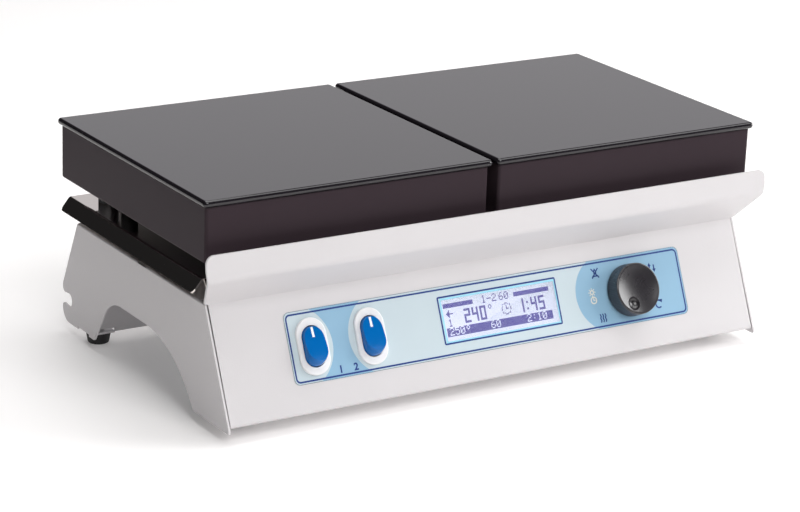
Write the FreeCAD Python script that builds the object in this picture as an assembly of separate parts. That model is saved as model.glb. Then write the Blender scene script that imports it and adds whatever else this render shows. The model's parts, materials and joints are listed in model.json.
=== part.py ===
"""Two-section glass-ceramic laboratory hot plate.

Millimetres. +X to the operator's right, +Y to the back, +Z up.
The origin is on the bench, in the middle of the footprint.
"""
import FreeCAD, Part
import math
import os

V = FreeCAD.Vector

# Heated sections
GLASS_W = 184.0
GLASS_D = 182.0
GLASS_T = 4.0
GLASS_GAP = 3.1
GLASS_OVERHANG = 2.0        # glass beyond the skirt, on every side
GLASS_CORNER_R = 2.4
SKIRT_H = 31.6
SKIRT_T = 1.2
SKIRT_LEDGE = 7.0
SKIRT_CORNER_R = 1.8
SKIRT_EDGE_R = 1.6
SEAL_T = 0.4
SEAL_W = 4.0
SEAL_INSET = 0.6
BASE_T = 1.0
BASE_RIM = 8.0
BASE_GAP = 1.0              # sunk floor of the base inside the skirt's ledge

# Chassis
SIDE_TUCK = 5.15            # side plates' outer faces inside the glass edges
SECTION_SETBACK = 23.5      # skirt's front face behind the side plates' tips
SECTION_REAR = 5.1          # skirt's rear face ahead of the rear hooks
CHASSIS_H = 65.5            # from the feet's top faces to the side plates' top bends
CHASSIS_T = 1.2             # powder-coated sheet
BEND_R = 1.3                # inner radius of an ordinary bend
TIGHT_BEND_R = 0.3          # and of the side plates' and the front panel's tight ones
FLANGE_W = 11.6             # top flange of a side plate
FIT_GAP = 0.3               # between sheets that slide together
BAY_H = 28.6                # inside the electronics bay

# Feet
FOOT_H = 7.0
FOOT_D = 15.0
FOOT_TIP_D = 12.4
FOOT_EDGE_R = 1.2
FOOT_SCREW_D = 4.0
FOOT_HEAD_H = 2.0
NUT_AF = 7.0
NUT_H = 3.2
FRONT_FOOT_INSET = 20.4     # foot centre inside a side plate's outer face
FRONT_FOOT_BACK = 28.9      # foot centre behind the front panel's lower bend
REAR_FOOT_INSET = 9.8
REAR_FOOT_BACK = 27.85      # foot centre ahead of the rear hooks
FOOT_TAB_W = 16.9
FOOT_TAB_L = 15.0

# Front panel and its lip
PANEL_LEAN = 24.3           # degrees back from the vertical
PANEL_SETBACK = 0.64        # panel's lower bend behind the side plates' tips
PANEL_LIFT = 2.4            # and above their lower edges
CREASE_DROP = 0.5           # crease below the side plates' top bends
PANEL_END_GAP = 1.9         # side plate's outer face to the panel's end
LIP_REACH = 17.5
LIP_RISE = 18.9
LIP_UPRIGHT = 14.8
LIP_BACK = 1.2
LIP_FLARE = 8.6             # lip's end beyond a side plate's outer face
LIP_CORNER_R = 5.0
LIP_BEND_R = 5.0
PANEL_FLANGE = 42.0
DECK_DROP = 14.0            # deck's front flange behind the panel

# Stack from the deck up
SHIELD_LIFT = 13.2          # deck to the heat shield's underside
SHIELD_T = 0.8
SECTION_LIFT = 11.7         # heat shield to the bottom of a section
POST_D = 12.0
POST_INSET = 20.5
SPACER_D = 8.0
BOLT_D = 4.0
BOLT_HEAD_D = 7.0
BOLT_HEAD_H = 2.4
BOLT_GAP = 0.4

# Heater inside a section
DISH_MARGIN = 11.0          # skirt's narrower side to the dish
DISH_T = 0.6
DISH_H = 24.0
DISH_R = 12.0
DISH_BELOW_GLASS = 0.8
INSULATION_FLOOR = 12.0
INSULATION_WALL = 8.0
INSULATION_R = 8.0
RIBBON_T = 1.0
RIBBON_H = 5.0
RIBBON_RUNS = 9
RIBBON_MARGIN = 7.0
LIMITER_D = 5.0
LIMITER_LIFT = 0.4
LIMITER_HEAD = (22.0, 8.8, 9.5)
LIMITER_GAP = 0.2
SPRING_W = 12.0
SPRING_T = 0.6
SPRING_FOOT = 8.0
SPRING_X = 30.0
SPRING_Y = 40.0

# Heat shield
SHIELD_SIDE = 0.9           # side plate's outer face to the shield's fold, inwards
SHIELD_FRONT = 34.45        # shield's front fold behind the side plates' tips
SHIELD_REAR = 7.55          # shield's rear fold ahead of the rear hooks
SHIELD_DROP = 7.4
SHIELD_SPREAD = 6.0
SHIELD_BEND_R = 2.0
SHIELD_CORNER_R = 2.4
SHIELD_NOTCH = 1.2

# Side plate outline
ARCH_BELOW_PAN = 3.0        # arch's top below the bottom pan
LEG_FRONT = 40.95           # front leg at its foot, from the front tips
LEG_FRONT_TOP = 63.15       # and at the arch's top
LEG_REAR = 42.25            # rear leg at its foot, from the rear hooks
LEG_REAR_TOP = 62.35
ARCH_FRONT_R = 68.0
ARCH_REAR_R = 26.0
LEG_NOSE = 1.5
TIP_RISE = 1.6
REAR_TOP_INSET = 20.0
HOOK_MOUTH_Z = 14.3         # middle of the hook's mouth above the feet's top faces
HOOK_MOUTH_H = 6.2
HOOK_INNER_H = 9.4
HOOK_DEPTH = 12.4
HOOK_LAND = 5.1             # straight edge above the mouth
HEEL_R = 8.4
SLOT_L = 10.2
SLOT_H = 0.9
SLOT_DEPTH = 5.0
SLOT_BACK = 104.1           # relief slot's middle behind the front tips

# Rear panel and bottom pan
REAR_INSET = 33.6           # rear panel's front face ahead of the rear hooks
REAR_LEG_TRIM = 7.2         # rear panel's lower part clears the side plates by this
REAR_WING_Z = 38.0          # the wider part starts this far above the feet
REAR_FLANGE = 14.0
VENT_W = 3.0
VENT_H = 11.0
VENT_PITCH = 7.0
VENT_SPAN = 105.0
VENT_X = -17.5
VENT_Z = 8.6                # slots' middle below the deck
PAN_T = 1.0
PAN_BEND_R = 4.0
PAN_FRONT = 22.9            # pan's front edge behind the front panel's lower bend
PAN_SLOPE_START = 4.1       # slope starts ahead of the front panel's flange end
PAN_SLOPE_END = 5.7         # and ends ahead of the arch's top
PAN_FLANGE = 13.0
PAN_VENT_L = 24.0
PAN_VENT_X = 52.4           # vents' middle inside a side plate's outer face
PAN_VENT_Y = 28.5           # and ahead of the rear panel

# Control label on the front panel
LABEL_W = 270.0
LABEL_H = 40.7
LABEL_X0 = -135.2
LABEL_DROP = 11.218         # label's upper edge below the crease, along the slope
LABEL_T = 0.25
LABEL_R = 3.5
WINDOW_X = (-34.0, 43.2)
WINDOW_H = 23.6
WINDOW_LIP = 2.4
WINDOW_T = 1.2
WINDOW_R = 1.0

# Display behind the window
LCD_T = 2.8
LCD_MARGIN = 3.5
LCD_FRAME_T = 0.6
LCD_BOARD_T = 1.6
LCD_BOARD_MARGIN = 4.5
LCD_SPACER_D = 4.0

# Rocker switches
SWITCH_X = (-120.5, -83.2)
BEZEL_W = 19.0
BEZEL_L = 32.3
BEZEL_T = 1.8
BEZEL_EDGE_R = 0.9
SWITCH_BODY_DEPTH = 19.0
SWITCH_WALL = 1.0
SWITCH_WALL_R = 5.0
SWITCH_GAP = 0.15
CAVITY_W = 13.3
CAVITY_L = 23.5
CAVITY_DEPTH = 11.0
ROCKER_GAP = 0.35           # paddle's side inside the cavity
ROCKER_R = 11.3             # radius of the paddle's ends about its pivot
ROCKER_CREST = 60.0         # degrees from the middle to an end's crest
ROCKER_DISH = 0.75
ROCKER_BELOW = 3.0
ROCKER_TILT = 12.75         # degrees, upper end pressed in
PIVOT_H = 0.6
PIVOT_R = 1.0
PIVOT_CLEAR = 0.06
PIVOT_L = 0.9
BLADE_W = 4.8
BLADE_T = 0.8
BLADE_L = 8.0
BLADE_PITCH = 7.0

# Encoder and knob
KNOB_X = 94.5
KNOB_D = 31.0
KNOB_FACE_D = 30.4
KNOB_H = 9.8
KNOB_LIFT = 1.0             # running gap over the panel
KNOB_EDGE_R = 0.7
KNOB_RIM = 1.2
KNOB_DISH = 1.7
KNOB_HOLLOW_D = 23.0
KNOB_HOLLOW_H = 4.2
DIMPLE_D = 8.0
DIMPLE_DEPTH = 2.6
DIMPLE_OFFSET = 9.3
DIMPLE_ANGLE = -118.0
SHAFT_D = 6.0
SHAFT_FLAT = 1.5
SHAFT_CLEAR = 0.05
SHAFT_ROOF = 2.4            # knob above the shaft's end
PRESS_TRAVEL = 0.5
BUSH_D = 7.0
BUSH_H = 4.4
ENCODER_W = 14.0
ENCODER_L = 12.4
ENCODER_DEPTH = 7.6
ENCODER_FLOOR = 0.8
ROTOR_D = 10.0
ROTOR_H = 3.0
ROTOR_DEPTH = 5.4
ROTOR_CLEAR = 0.08
ROTOR_FLOAT = 0.1
ENCODER_NUT_AF = 10.0
ENCODER_NUT_H = 2.0

# Control board
BOARD_T = 1.6
BOARD_X = (-52.0, 116.0)
BOARD_ABOVE = 17.2          # board's upper edge above the label's middle
BOARD_H = 37.0
BOARD_R = 2.0
BOARD_HOLE_D = 3.0
STUD_TIP_D = 2.9
STUD_TIP_L = 1.0
STANDOFF_D = 5.0
STANDOFF_EDGE = 4.0

# Mains inlet at the right of the rear panel
INLET_INSET = 62.4          # inlet's middle inside the right side plate's outer face
INLET_DROP = 13.1           # and below the deck
INLET_FLANGE = (58.0, 25.0)
INLET_FLANGE_T = 2.5
INLET_FLANGE_R = 2.5
INLET_BODY = (50.0, 21.6)
INLET_DEPTH = 27.0
SOCKET_W = 24.8
SOCKET_H = 16.9
SOCKET_DEPTH = 16.5
SOCKET_CHAMFER = 5.0
SOCKET_R = 1.5
SOCKET_SHIFT = 9.5
PIN_W = 4.0
PIN_T = 2.0
PIN_L = 14.0
PIN_SPREAD = 7.0
PIN_RISE = 2.0
TAB_T = 0.8
TAB_W = 4.8
TAB_L = 8.0
DRAWER_W = 12.0
DRAWER_H = 16.4
DRAWER_SHIFT = 15.0
DRAWER_DEPTH = 24.0
DRAWER_FACE = (15.0, 19.4)
DRAWER_FACE_T = 2.0
DRAWER_GAP = 0.25
DRAWER_SEAT = 0.1
DRAWER_GRIP = (10.0, 2.4, 0.8)
FUSE_D = 5.0
FUSE_L = 20.0
FUSE_SPREAD = 6.6
FUSE_END = 1.5

# Power electronics on the bottom pan
RELAY = (58.0, 44.0, 25.0)
RELAY_STEP = (4.0, 9.0, 8.0)
RELAY_OUT = 18.45           # relay's middle outside its section's middle
RELAY_BACK = 25.05          # and ahead of it
RELAY_SCREW_D = 6.4
RELAY_SCREW_H = 3.0
RELAY_SCREW_X = 12.0
POWER_BOARD = (124.0, 62.0)
POWER_BOARD_SHIFT = 12.0    # board's middle behind the relays' middle
BOARD_LIFT = 5.0
BOARD_EDGE = 5.0
BOARD_POST_D = 6.0
TRANSFORMER = (38.0, 32.0, 17.0)
TRANSFORMER_EDGE = 1.2
TRANSFORMER_X = -30.0
CAPACITOR_D = 10.0
CAPACITOR_H = 15.0
CAPACITOR_SPREAD = 14.0
CAPACITOR_X = 22.0
TERMINALS = (54.0, 14.0, 12.0)
TERMINAL_COUNT = 6
TERMINAL_X = 30.0
TERMINAL_AHEAD = 22.5       # strip's middle ahead of the rear panel
TERMINAL_WELL_D = 5.0
TERMINAL_WELL_H = 3.0
TERMINAL_SCREW_D = 4.6
TERMINAL_SCREW_H = 1.6
LEAD_D = 2.6
LEAD_SPREAD = 4.4
LEAD_INSET = 19.9           # rising leads inside the side plates' outer faces
LEAD_AHEAD = 47.85          # and ahead of the rear hooks
LEAD_START = 4.5            # first run's distance from the relay's middle
LEAD_RUN = 6.5              # first run of the outer lead
LEAD_STEP = 5.0             # more for the inner one
LEAD_SLANT = 3.0            # backwards on the way to the side plate
LEAD_BEND_R = 6.0
LEAD_DROP = 12.0
MAINS_BEND_R = 4.0
MAINS_RUN = 9.0
MAINS_STEP = 5.0
LEAD_BUSH_D = 9.8
LEAD_BUSH_LIP = 12.0
LEAD_BUSH_END = 2.0
LEAD_BUSH_GAP = 0.4
LEAD_GAP = 0.2
RIBBON_CABLE = (26.0, 1.0)
CABLE_BEND_R = 2.0
CABLE_OUT = 8.0
CABLE_LAND = 10.0
EARTH_D = 5.0
EARTH_H = 14.0
EARTH_AF = 8.0
EARTH_NUT = (2.0, 4.0)
EARTH_INSET = 60.4
EARTH_AHEAD = 14.5

# Places that follow from the sizes above
SKIRT_W = GLASS_W - 2 * GLASS_OVERHANG
SKIRT_D = GLASS_D - 2 * GLASS_OVERHANG
DISH_W = min(SKIRT_W, SKIRT_D) - 2 * DISH_MARGIN
SIDE_SPAN = 2 * GLASS_W + GLASS_GAP - 2 * SIDE_TUCK
BODY_DEPTH = SECTION_SETBACK + SKIRT_D + SECTION_REAR
HALF = SIDE_SPAN / 2
INNER = HALF - CHASSIS_T
FRONT_Y = -BODY_DEPTH / 2
REAR_Y = BODY_DEPTH / 2
PLATE_TOP = FOOT_H + CHASSIS_H
DECK_TOP = PLATE_TOP - CHASSIS_T
DECK_UNDER = DECK_TOP - CHASSIS_T
SHIELD_TOP = DECK_TOP + SHIELD_LIFT + SHIELD_T
SKIRT_Z = SHIELD_TOP + SECTION_LIFT
SKIRT_TOP = SKIRT_Z + SKIRT_H
GLASS_Z = SKIRT_TOP + SEAL_T
SECTION_X = (GLASS_GAP + GLASS_W) / 2
SECTION_Y = FRONT_Y + SECTION_SETBACK + SKIRT_D / 2
LEAN = math.radians(PANEL_LEAN)
PANEL_Y = FRONT_Y + PANEL_SETBACK - PANEL_LIFT * math.tan(LEAN)
PANEL_FOOT = FOOT_H + PANEL_LIFT
CREASE_Z = PLATE_TOP - CREASE_DROP
CREASE_Y = PANEL_Y + (CREASE_Z - FOOT_H) * math.tan(LEAN)
PANEL_BACK = CHASSIS_T / math.cos(LEAN)
WALL_Y = REAR_Y - REAR_INSET
PAN_Z = DECK_UNDER - BAY_H
PAN_TOP = PAN_Z + PAN_T
ARCH_TOP = PAN_Z - ARCH_BELOW_PAN
FRONT_FOOT_Y = PANEL_Y + FRONT_FOOT_BACK
REAR_FOOT_Y = REAR_Y - REAR_FOOT_BACK
LABEL_TOP = (CREASE_Z - FOOT_H) / math.cos(LEAN) - LABEL_DROP
LABEL_MID = LABEL_TOP - LABEL_H / 2
SWITCH_V = LABEL_MID - 0.45
KNOB_V = LABEL_MID - 0.75
WINDOW_MID = LABEL_MID + 0.45
ENCODER_BACK = -CHASSIS_T - ENCODER_DEPTH
SHAFT_TOP = KNOB_LIFT + KNOB_H - SHAFT_ROOF
DISH_TOP = GLASS_Z - DISH_BELOW_GLASS
DISH_Z = DISH_TOP - DISH_H
WALL_BACK = WALL_Y + CHASSIS_T
INLET_X = HALF - INLET_INSET
INLET_Z = DECK_UNDER - INLET_DROP
INLET_FACE = WALL_BACK + INLET_FLANGE_T
SOCKET_X = INLET_X + SOCKET_SHIFT
DRAWER_X = INLET_X - DRAWER_SHIFT
RELAY_X = SECTION_X + RELAY_OUT
RELAY_Y = SECTION_Y - RELAY_BACK
POWER_BOARD_Y = RELAY_Y + POWER_BOARD_SHIFT
POWER_BOARD_TOP = PAN_TOP + BOARD_LIFT + BOARD_T
LEAD_X = HALF - LEAD_INSET
LEAD_Y = REAR_Y - LEAD_AHEAD
TERMINAL_Y = WALL_Y - TERMINAL_AHEAD
SIDES = (("left", -1), ("right", 1))
SECTIONS = (("a", -1), ("b", 1))


def block(x, y, z):
    """A box between pairs of coordinates."""
    return Part.makeBox(x[1] - x[0], y[1] - y[0], z[1] - z[0], V(x[0], y[0], z[0]))


def rod(diameter, start, direction, length):
    """A cylinder from a start point."""
    return Part.makeCylinder(diameter / 2, length, V(*start), V(*direction))


def fuse(shapes):
    """One solid from shapes that touch or overlap."""
    result = shapes[0]
    for shape in shapes[1:]:
        result = result.fuse(shape)
    return result.removeSplitter()


def group(shapes):
    """Separate solids that share one node."""
    return Part.makeCompound(shapes)


def outline(points, radii):
    """Face in the XY plane whose corners are rounded by tangent arcs."""
    corners = [V(u, v, 0) for u, v in points]
    count = len(corners)
    stops = []
    for i, corner in enumerate(corners):
        if radii[i] <= 0:
            stops.append((corner, None, corner))
            continue
        before = (corners[i - 1] - corner).normalize()
        after = (corners[(i + 1) % count] - corner).normalize()
        half = before.getAngle(after) / 2
        reach = radii[i] / math.tan(half)
        bulge = radii[i] / math.sin(half) - radii[i]
        middle = corner + (before + after).normalize() * bulge
        stops.append((corner + before * reach, middle, corner + after * reach))
    edges = []
    for i, (entry, middle, leave) in enumerate(stops):
        last = stops[i - 1][2]
        if (entry - last).Length > 1e-6:
            edges.append(Part.LineSegment(last, entry).toShape())
        if middle is not None:
            edges.append(Part.Arc(entry, middle, leave).toShape())
    return Part.Face(Part.Wire(edges))


def rounded(width, length, radius):
    """Outline points and radii of a centred rectangle."""
    w, d = width / 2, length / 2
    return [(-w, -d), (w, -d), (w, d), (-w, d)], [radius] * 4


def extrude(face, length, turn, base):
    """Raise a face along its normal, then turn it and set it down."""
    solid = face.extrude(V(0, 0, length))
    return solid.transformed(FreeCAD.Placement(V(*base), turn).toMatrix())


def prism_x(points, radii, x0, x1):
    """Outline in the YZ plane, extruded along X."""
    turn = FreeCAD.Rotation(V(0, 1, 0), V(0, 0, 1), V(1, 0, 0))
    return extrude(outline(points, radii), x1 - x0, turn, (x0, 0, 0))


def prism_y(points, radii, y0, y1):
    """Outline in the XZ plane, extruded along Y."""
    turn = FreeCAD.Rotation(V(1, 0, 0), 90)
    return extrude(outline(points, radii), y1 - y0, turn, (0, y1, 0))


def prism_z(points, radii, z0, z1):
    """Outline in the XY plane, extruded along Z."""
    return extrude(outline(points, radii), z1 - z0, FreeCAD.Rotation(), (0, 0, z0))


def sheet(points, bends, thickness):
    """Closed outline of a bent sheet that lies to the left of its path."""
    path = [V(u, v, 0) for u, v in points]
    last = len(path) - 1
    normals = []
    for a, b in zip(path, path[1:]):
        run = (b - a).normalize()
        normals.append(V(-run.y, run.x, 0))
    inside, near, far = [], [], []
    for i, point in enumerate(path):
        n1 = normals[max(i - 1, 0)]
        n2 = normals[min(i, last - 1)]
        inside.append(point + (n1 + n2) * (thickness / (1 + n1.dot(n2))))
        if i in (0, last):
            near.append(0)
            far.append(0)
            continue
        left_turn = n1.x * n2.y - n1.y * n2.x > 0
        near.append(bends[i - 1] + (thickness if left_turn else 0))
        far.append(bends[i - 1] + (0 if left_turn else thickness))
    corners = [(p.x, p.y) for p in path + inside[::-1]]
    return corners, near + far[::-1]


def on_panel(shape, x=0, v=0, h=0):
    """Put a shape drawn flat on the front panel: x along it, v up the slope, h outwards."""
    turn = FreeCAD.Rotation(V(1, 0, 0), 90 - PANEL_LEAN)
    foot = V(0, PANEL_Y, FOOT_H)
    place = FreeCAD.Placement(foot, turn).multiply(FreeCAD.Placement(V(x, v, h), FreeCAD.Rotation()))
    return shape.transformed(place.toMatrix())


def obround(width, length, h0, h1):
    """A slot-shaped prism, long in v, centred on the origin."""
    points, radii = rounded(width, length, width / 2 - 0.01)
    return prism_z(points, radii, h0, h1)


def tube(points, bend, diameter):
    """A round lead along straight runs joined by tangent arcs."""
    path = [V(*p) for p in points]
    edges = []
    last = path[0]
    for before, corner, after in zip(path, path[1:], path[2:]):
        to_before = (before - corner).normalize()
        to_after = (after - corner).normalize()
        half = to_before.getAngle(to_after) / 2
        entry = corner + to_before * (bend / math.tan(half))
        leave = corner + to_after * (bend / math.tan(half))
        middle = corner + (to_before + to_after).normalize() * (bend / math.sin(half) - bend)
        edges.append(Part.LineSegment(last, entry).toShape())
        edges.append(Part.Arc(entry, middle, leave).toShape())
        last = leave
    edges.append(Part.LineSegment(last, path[-1]).toShape())
    start = (path[1] - path[0]).normalize()
    section = Part.Wire(Part.makeCircle(diameter / 2, path[0], start))
    return Part.Wire(edges).makePipeShell([section], True, True)


def section_posts(side):
    """Centres of the four posts under one section."""
    x = SKIRT_W / 2 - POST_INSET
    y = SKIRT_D / 2 - POST_INSET
    centre = side * SECTION_X
    return [(centre + i * x, SECTION_Y + j * y) for i in (-1, 1) for j in (-1, 1)]


def all_posts():
    return section_posts(-1) + section_posts(1)


def lead_places(side):
    """Where the two leads of a section rise through the deck."""
    return [(side * (LEAD_X + i * LEAD_SPREAD / 2), LEAD_Y) for i in (-1, 1)]


def holes(places, diameter, z0, z1):
    return [rod(diameter, (x, y, z0), (0, 0, 1), z1 - z0) for x, y in places]


def nut(x, y, across_flats, height, bore, z):
    """Hexagon nut standing on z."""
    radius = across_flats / math.sqrt(3)
    angles = [math.radians(60 * i) for i in range(7)]
    corners = [V(x + radius * math.cos(a), y + radius * math.sin(a), z) for a in angles]
    body = Part.Face(Part.makePolygon(corners)).extrude(V(0, 0, height))
    if bore:
        body = body.cut(rod(bore, (x, y, z - 1), (0, 0, 1), height + 2))
    return body


def fitting_radius(radius, corner, ends, share):
    """A corner radius that leaves the rest of the shorter side straight."""
    sides = [V(end[0] - corner[0], end[1] - corner[1], 0) for end in ends]
    half = sides[0].getAngle(sides[1]) / 2
    return min(radius, share * min(side.Length for side in sides) * math.tan(half))


# Chassis

def side_plate_outline():
    """Rear edge, hook, legs and arch, in Y and Z."""
    hook_z = FOOT_H + HOOK_MOUTH_Z
    mouth = HOOK_MOUTH_H / 2
    inner = HOOK_INNER_H / 2
    hook_y = REAR_Y - HOOK_DEPTH
    heel = (REAR_Y - LEG_REAR, FOOT_H)
    arch_rear = (REAR_Y - LEG_REAR_TOP, ARCH_TOP)
    arch_front = (FRONT_Y + LEG_FRONT_TOP, ARCH_TOP)
    toe = (FRONT_Y + LEG_FRONT, FOOT_H)
    rear_r = fitting_radius(ARCH_REAR_R, arch_rear, (heel, arch_front), 0.8)
    front_r = fitting_radius(ARCH_FRONT_R, arch_front, (toe, arch_rear), 0.92)
    corners = [
        ((CREASE_Y + 0.7, PLATE_TOP), 0),
        ((REAR_Y - REAR_TOP_INSET, PLATE_TOP), 0),
        ((REAR_Y, hook_z + mouth + HOOK_LAND), 6.0),
        ((REAR_Y, hook_z + mouth), 3.0),
        ((hook_y, hook_z + inner), 3.9),
        ((hook_y, hook_z - inner), 3.9),
        ((REAR_Y, hook_z - mouth), 2.4),
        ((REAR_Y, FOOT_H), HEEL_R),
        (heel, LEG_NOSE),
        (arch_rear, rear_r),
        (arch_front, front_r),
        (toe, LEG_NOSE),
        ((FRONT_Y + 0.4, FOOT_H), 0.8),
        ((FRONT_Y, FOOT_H + TIP_RISE), 0.8),
    ]
    return [c[0] for c in corners], [c[1] for c in corners]


def left_side_plate():
    """Side plate with a top flange and, at the rear leg, a tab for the foot."""
    reach = INNER - FLANGE_W
    points, radii = sheet(
        [(-reach, PLATE_TOP), (-HALF, PLATE_TOP), (-HALF, 0)], [TIGHT_BEND_R], CHASSIS_T)
    plate = prism_y(points, radii, FRONT_Y, REAR_Y)
    points, radii = side_plate_outline()
    plate = plate.common(prism_x(points, radii, -HALF - 1, -reach + 1))
    flange_front = CREASE_Y + SPACER_D
    plate = plate.cut(block((-INNER, 0), (FRONT_Y, flange_front), (DECK_TOP - BEND_R, PLATE_TOP + 1)))
    slot_y = FRONT_Y + SLOT_BACK
    slot = (slot_y - SLOT_L / 2, slot_y + SLOT_L / 2)
    plate = plate.cut(block((-HALF - 1, -HALF + SLOT_DEPTH), slot, (PLATE_TOP - SLOT_H, PLATE_TOP + 1)))
    tab_y = (REAR_FOOT_Y - FOOT_TAB_L / 2, REAR_FOOT_Y + FOOT_TAB_L / 2)
    tab_bend_z = FOOT_H + 3 * CHASSIS_T
    plate = plate.cut(block((-HALF - 1, -INNER + 1), tab_y, (0, tab_bend_z)))
    points, radii = sheet(
        [(-HALF, tab_bend_z), (-HALF, FOOT_H), (-HALF + FOOT_TAB_W, FOOT_H)],
        [CHASSIS_T], CHASSIS_T)
    tab = prism_y(points, radii, *tab_y)
    foot_x = -HALF + REAR_FOOT_INSET
    tab = tab.cut(rod(FOOT_SCREW_D, (foot_x, REAR_FOOT_Y, 0), (0, 0, 1), PLATE_TOP))
    return fuse([plate, tab])


def right_side_plate():
    return left_side_plate().mirror(V(0, 0, 0), V(1, 0, 0))


def deck():
    """Deck under the side plates' flanges, with a flange down behind the front panel."""
    front = CREASE_Y + PANEL_BACK + FIT_GAP - (CREASE_Z - DECK_TOP) * math.tan(LEAN)
    points, radii = sheet(
        [(REAR_Y - REAR_TOP_INSET, DECK_TOP), (front, DECK_TOP),
         (front - DECK_DROP * math.sin(LEAN), DECK_TOP - DECK_DROP * math.cos(LEAN))],
        [BEND_R], CHASSIS_T)
    half = INNER - BEND_R - 0.1
    plate = prism_x(points, radii, -half, half)
    for tool in holes(all_posts(), BOLT_D + BOLT_GAP, 0, SKIRT_Z):
        plate = plate.cut(tool)
    for tool in lead_bush_holes(0, SKIRT_Z):
        plate = plate.cut(tool)
    return plate


def rear_panel():
    """Upright rear wall with a top flange, cut for the inlet, the air slots and the feet."""
    top = DECK_UNDER
    points, radii = sheet(
        [(WALL_BACK, FOOT_H), (WALL_BACK, top), (WALL_BACK - REAR_FLANGE, top)], [BEND_R], CHASSIS_T)
    wall = prism_x(points, radii, -INNER + FIT_GAP, INNER - FIT_GAP)
    through = (WALL_Y - 1, WALL_BACK + 1)
    for side in (-1, 1):
        edge = side * (INNER - REAR_LEG_TRIM)
        x = sorted((edge, side * SIDE_SPAN))
        wall = wall.cut(block(x, through, (0, FOOT_H + REAR_WING_Z)))
        edge = side * (HALF - FOOT_TAB_W - 1.0)
        x = sorted((edge, side * SIDE_SPAN))
        wall = wall.cut(block(x, through, (0, FOOT_H + 2 * CHASSIS_T)))
    w, h = INLET_BODY
    cut_w = w / 2 + FIT_GAP
    cut_h = h / 2 + FIT_GAP
    wall = wall.cut(block((INLET_X - cut_w, INLET_X + cut_w), through, (INLET_Z - cut_h, INLET_Z + cut_h)))
    count = int(VENT_SPAN / VENT_PITCH) + 1
    for i in range(count):
        x = VENT_X + (i - (count - 1) / 2) * VENT_PITCH
        points, radii = rounded(VENT_W, VENT_H, VENT_W / 2 - 0.01)
        points = [(x + u, DECK_UNDER - VENT_Z + v) for u, v in points]
        wall = wall.cut(prism_y(points, radii, *through))
    return wall


def pan_slope():
    """Where the bottom pan's slope starts and ends."""
    start = PANEL_Y + PANEL_FLANGE - PAN_SLOPE_START
    return start, FRONT_Y + LEG_FRONT_TOP - PAN_SLOPE_END


def bottom_pan():
    """Pan that closes the electronics bay and follows the arch."""
    slope_low, slope_high = pan_slope()
    low = PANEL_FOOT + CHASSIS_T
    points, radii = sheet(
        [(PANEL_Y + PAN_FRONT, low), (slope_low, low), (slope_high, PAN_Z), (WALL_Y, PAN_Z),
         (WALL_Y, PAN_Z + PAN_FLANGE)],
        [PAN_BEND_R, PAN_BEND_R, BEND_R], PAN_T)
    half = INNER - FIT_GAP
    pan = prism_x(points, radii, -half, half)
    w = INLET_BODY[0] / 2 + 4.0
    flange_y = (WALL_Y - 2 * PAN_T, WALL_Y + 1)
    flange_z = (PAN_TOP + BEND_R, PAN_Z + PAN_FLANGE + 1)
    pan = pan.cut(block((INLET_X - w, INLET_X + w), flange_y, flange_z))
    tools = holes([(i * (HALF - FRONT_FOOT_INSET), FRONT_FOOT_Y) for i in (-1, 1)], FOOT_SCREW_D, 0, PAN_TOP)
    for side in (-1, 1):
        for row in range(-2, 3):
            points, radii = rounded(VENT_W, PAN_VENT_L, VENT_W / 2 - 0.01)
            x = side * (HALF - PAN_VENT_X) + row * VENT_PITCH
            points = [(x + u, WALL_Y - PAN_VENT_Y + v) for u, v in points]
            tools.append(prism_z(points, radii, PAN_Z - 1, PAN_TOP + 1))
    for tool in tools:
        pan = pan.cut(tool)
    return pan


def switch_hole(x, h0, h1):
    w = SWITCH_BODY_W + 2 * SWITCH_GAP
    d = SWITCH_BODY_L + 2 * SWITCH_GAP
    points, radii = rounded(w, d, SWITCH_WALL_R)
    points = [(x + u, SWITCH_V + v) for u, v in points]
    return prism_z(points, radii, h0, h1)


def front_panel():
    """Leaning panel, flared lip above its crease and a flange below for the front feet."""
    bend = (CREASE_Y - LIP_REACH, CREASE_Z + LIP_RISE)
    top = (bend[0] + LIP_BACK, bend[1] + LIP_UPRIGHT)
    points, radii = sheet(
        [top, bend, (CREASE_Y, CREASE_Z), (FRONT_Y + PANEL_SETBACK, PANEL_FOOT),
         (PANEL_Y + PANEL_FLANGE, PANEL_FOOT)],
        [LIP_BEND_R, 0.8, TIGHT_BEND_R], CHASSIS_T)
    lip = HALF + LIP_FLARE
    panel = prism_x(points, radii, -lip, lip)
    end = HALF - PANEL_END_GAP
    half = [
        ((end, 0), 0),
        ((end, PLATE_TOP - 0.6), 0),
        ((HALF + 0.6, PLATE_TOP + 0.3), 0.8),
        ((lip - 0.9, bend[1]), 12.0),
        ((lip, bend[1] + 6.0), 8.0),
        ((lip, top[1]), LIP_CORNER_R),
    ]
    corners = half + [((-x, z), r) for (x, z), r in reversed(half)]
    panel = panel.common(prism_y([c[0] for c in corners], [c[1] for c in corners],
                                 PANEL_Y - LIP_REACH, PANEL_Y + PANEL_FLANGE + 1))
    depth = (-CHASSIS_T - 0.5, 0.5)
    tools = [on_panel(switch_hole(x, *depth)) for x in SWITCH_X]
    tools.append(on_panel(window_block(WINDOW_LIP + 0.2, *depth)))
    tools.append(on_panel(rod(BUSH_D + FIT_GAP, (0, 0, depth[0]), (0, 0, 1), 2), KNOB_X, KNOB_V))
    tools += holes([(i * (HALF - FRONT_FOOT_INSET), FRONT_FOOT_Y) for i in (-1, 1)], FOOT_SCREW_D, 0,
                   PANEL_FOOT + 2 * CHASSIS_T)
    for tool in tools:
        panel = panel.cut(tool)
    return panel


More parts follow.
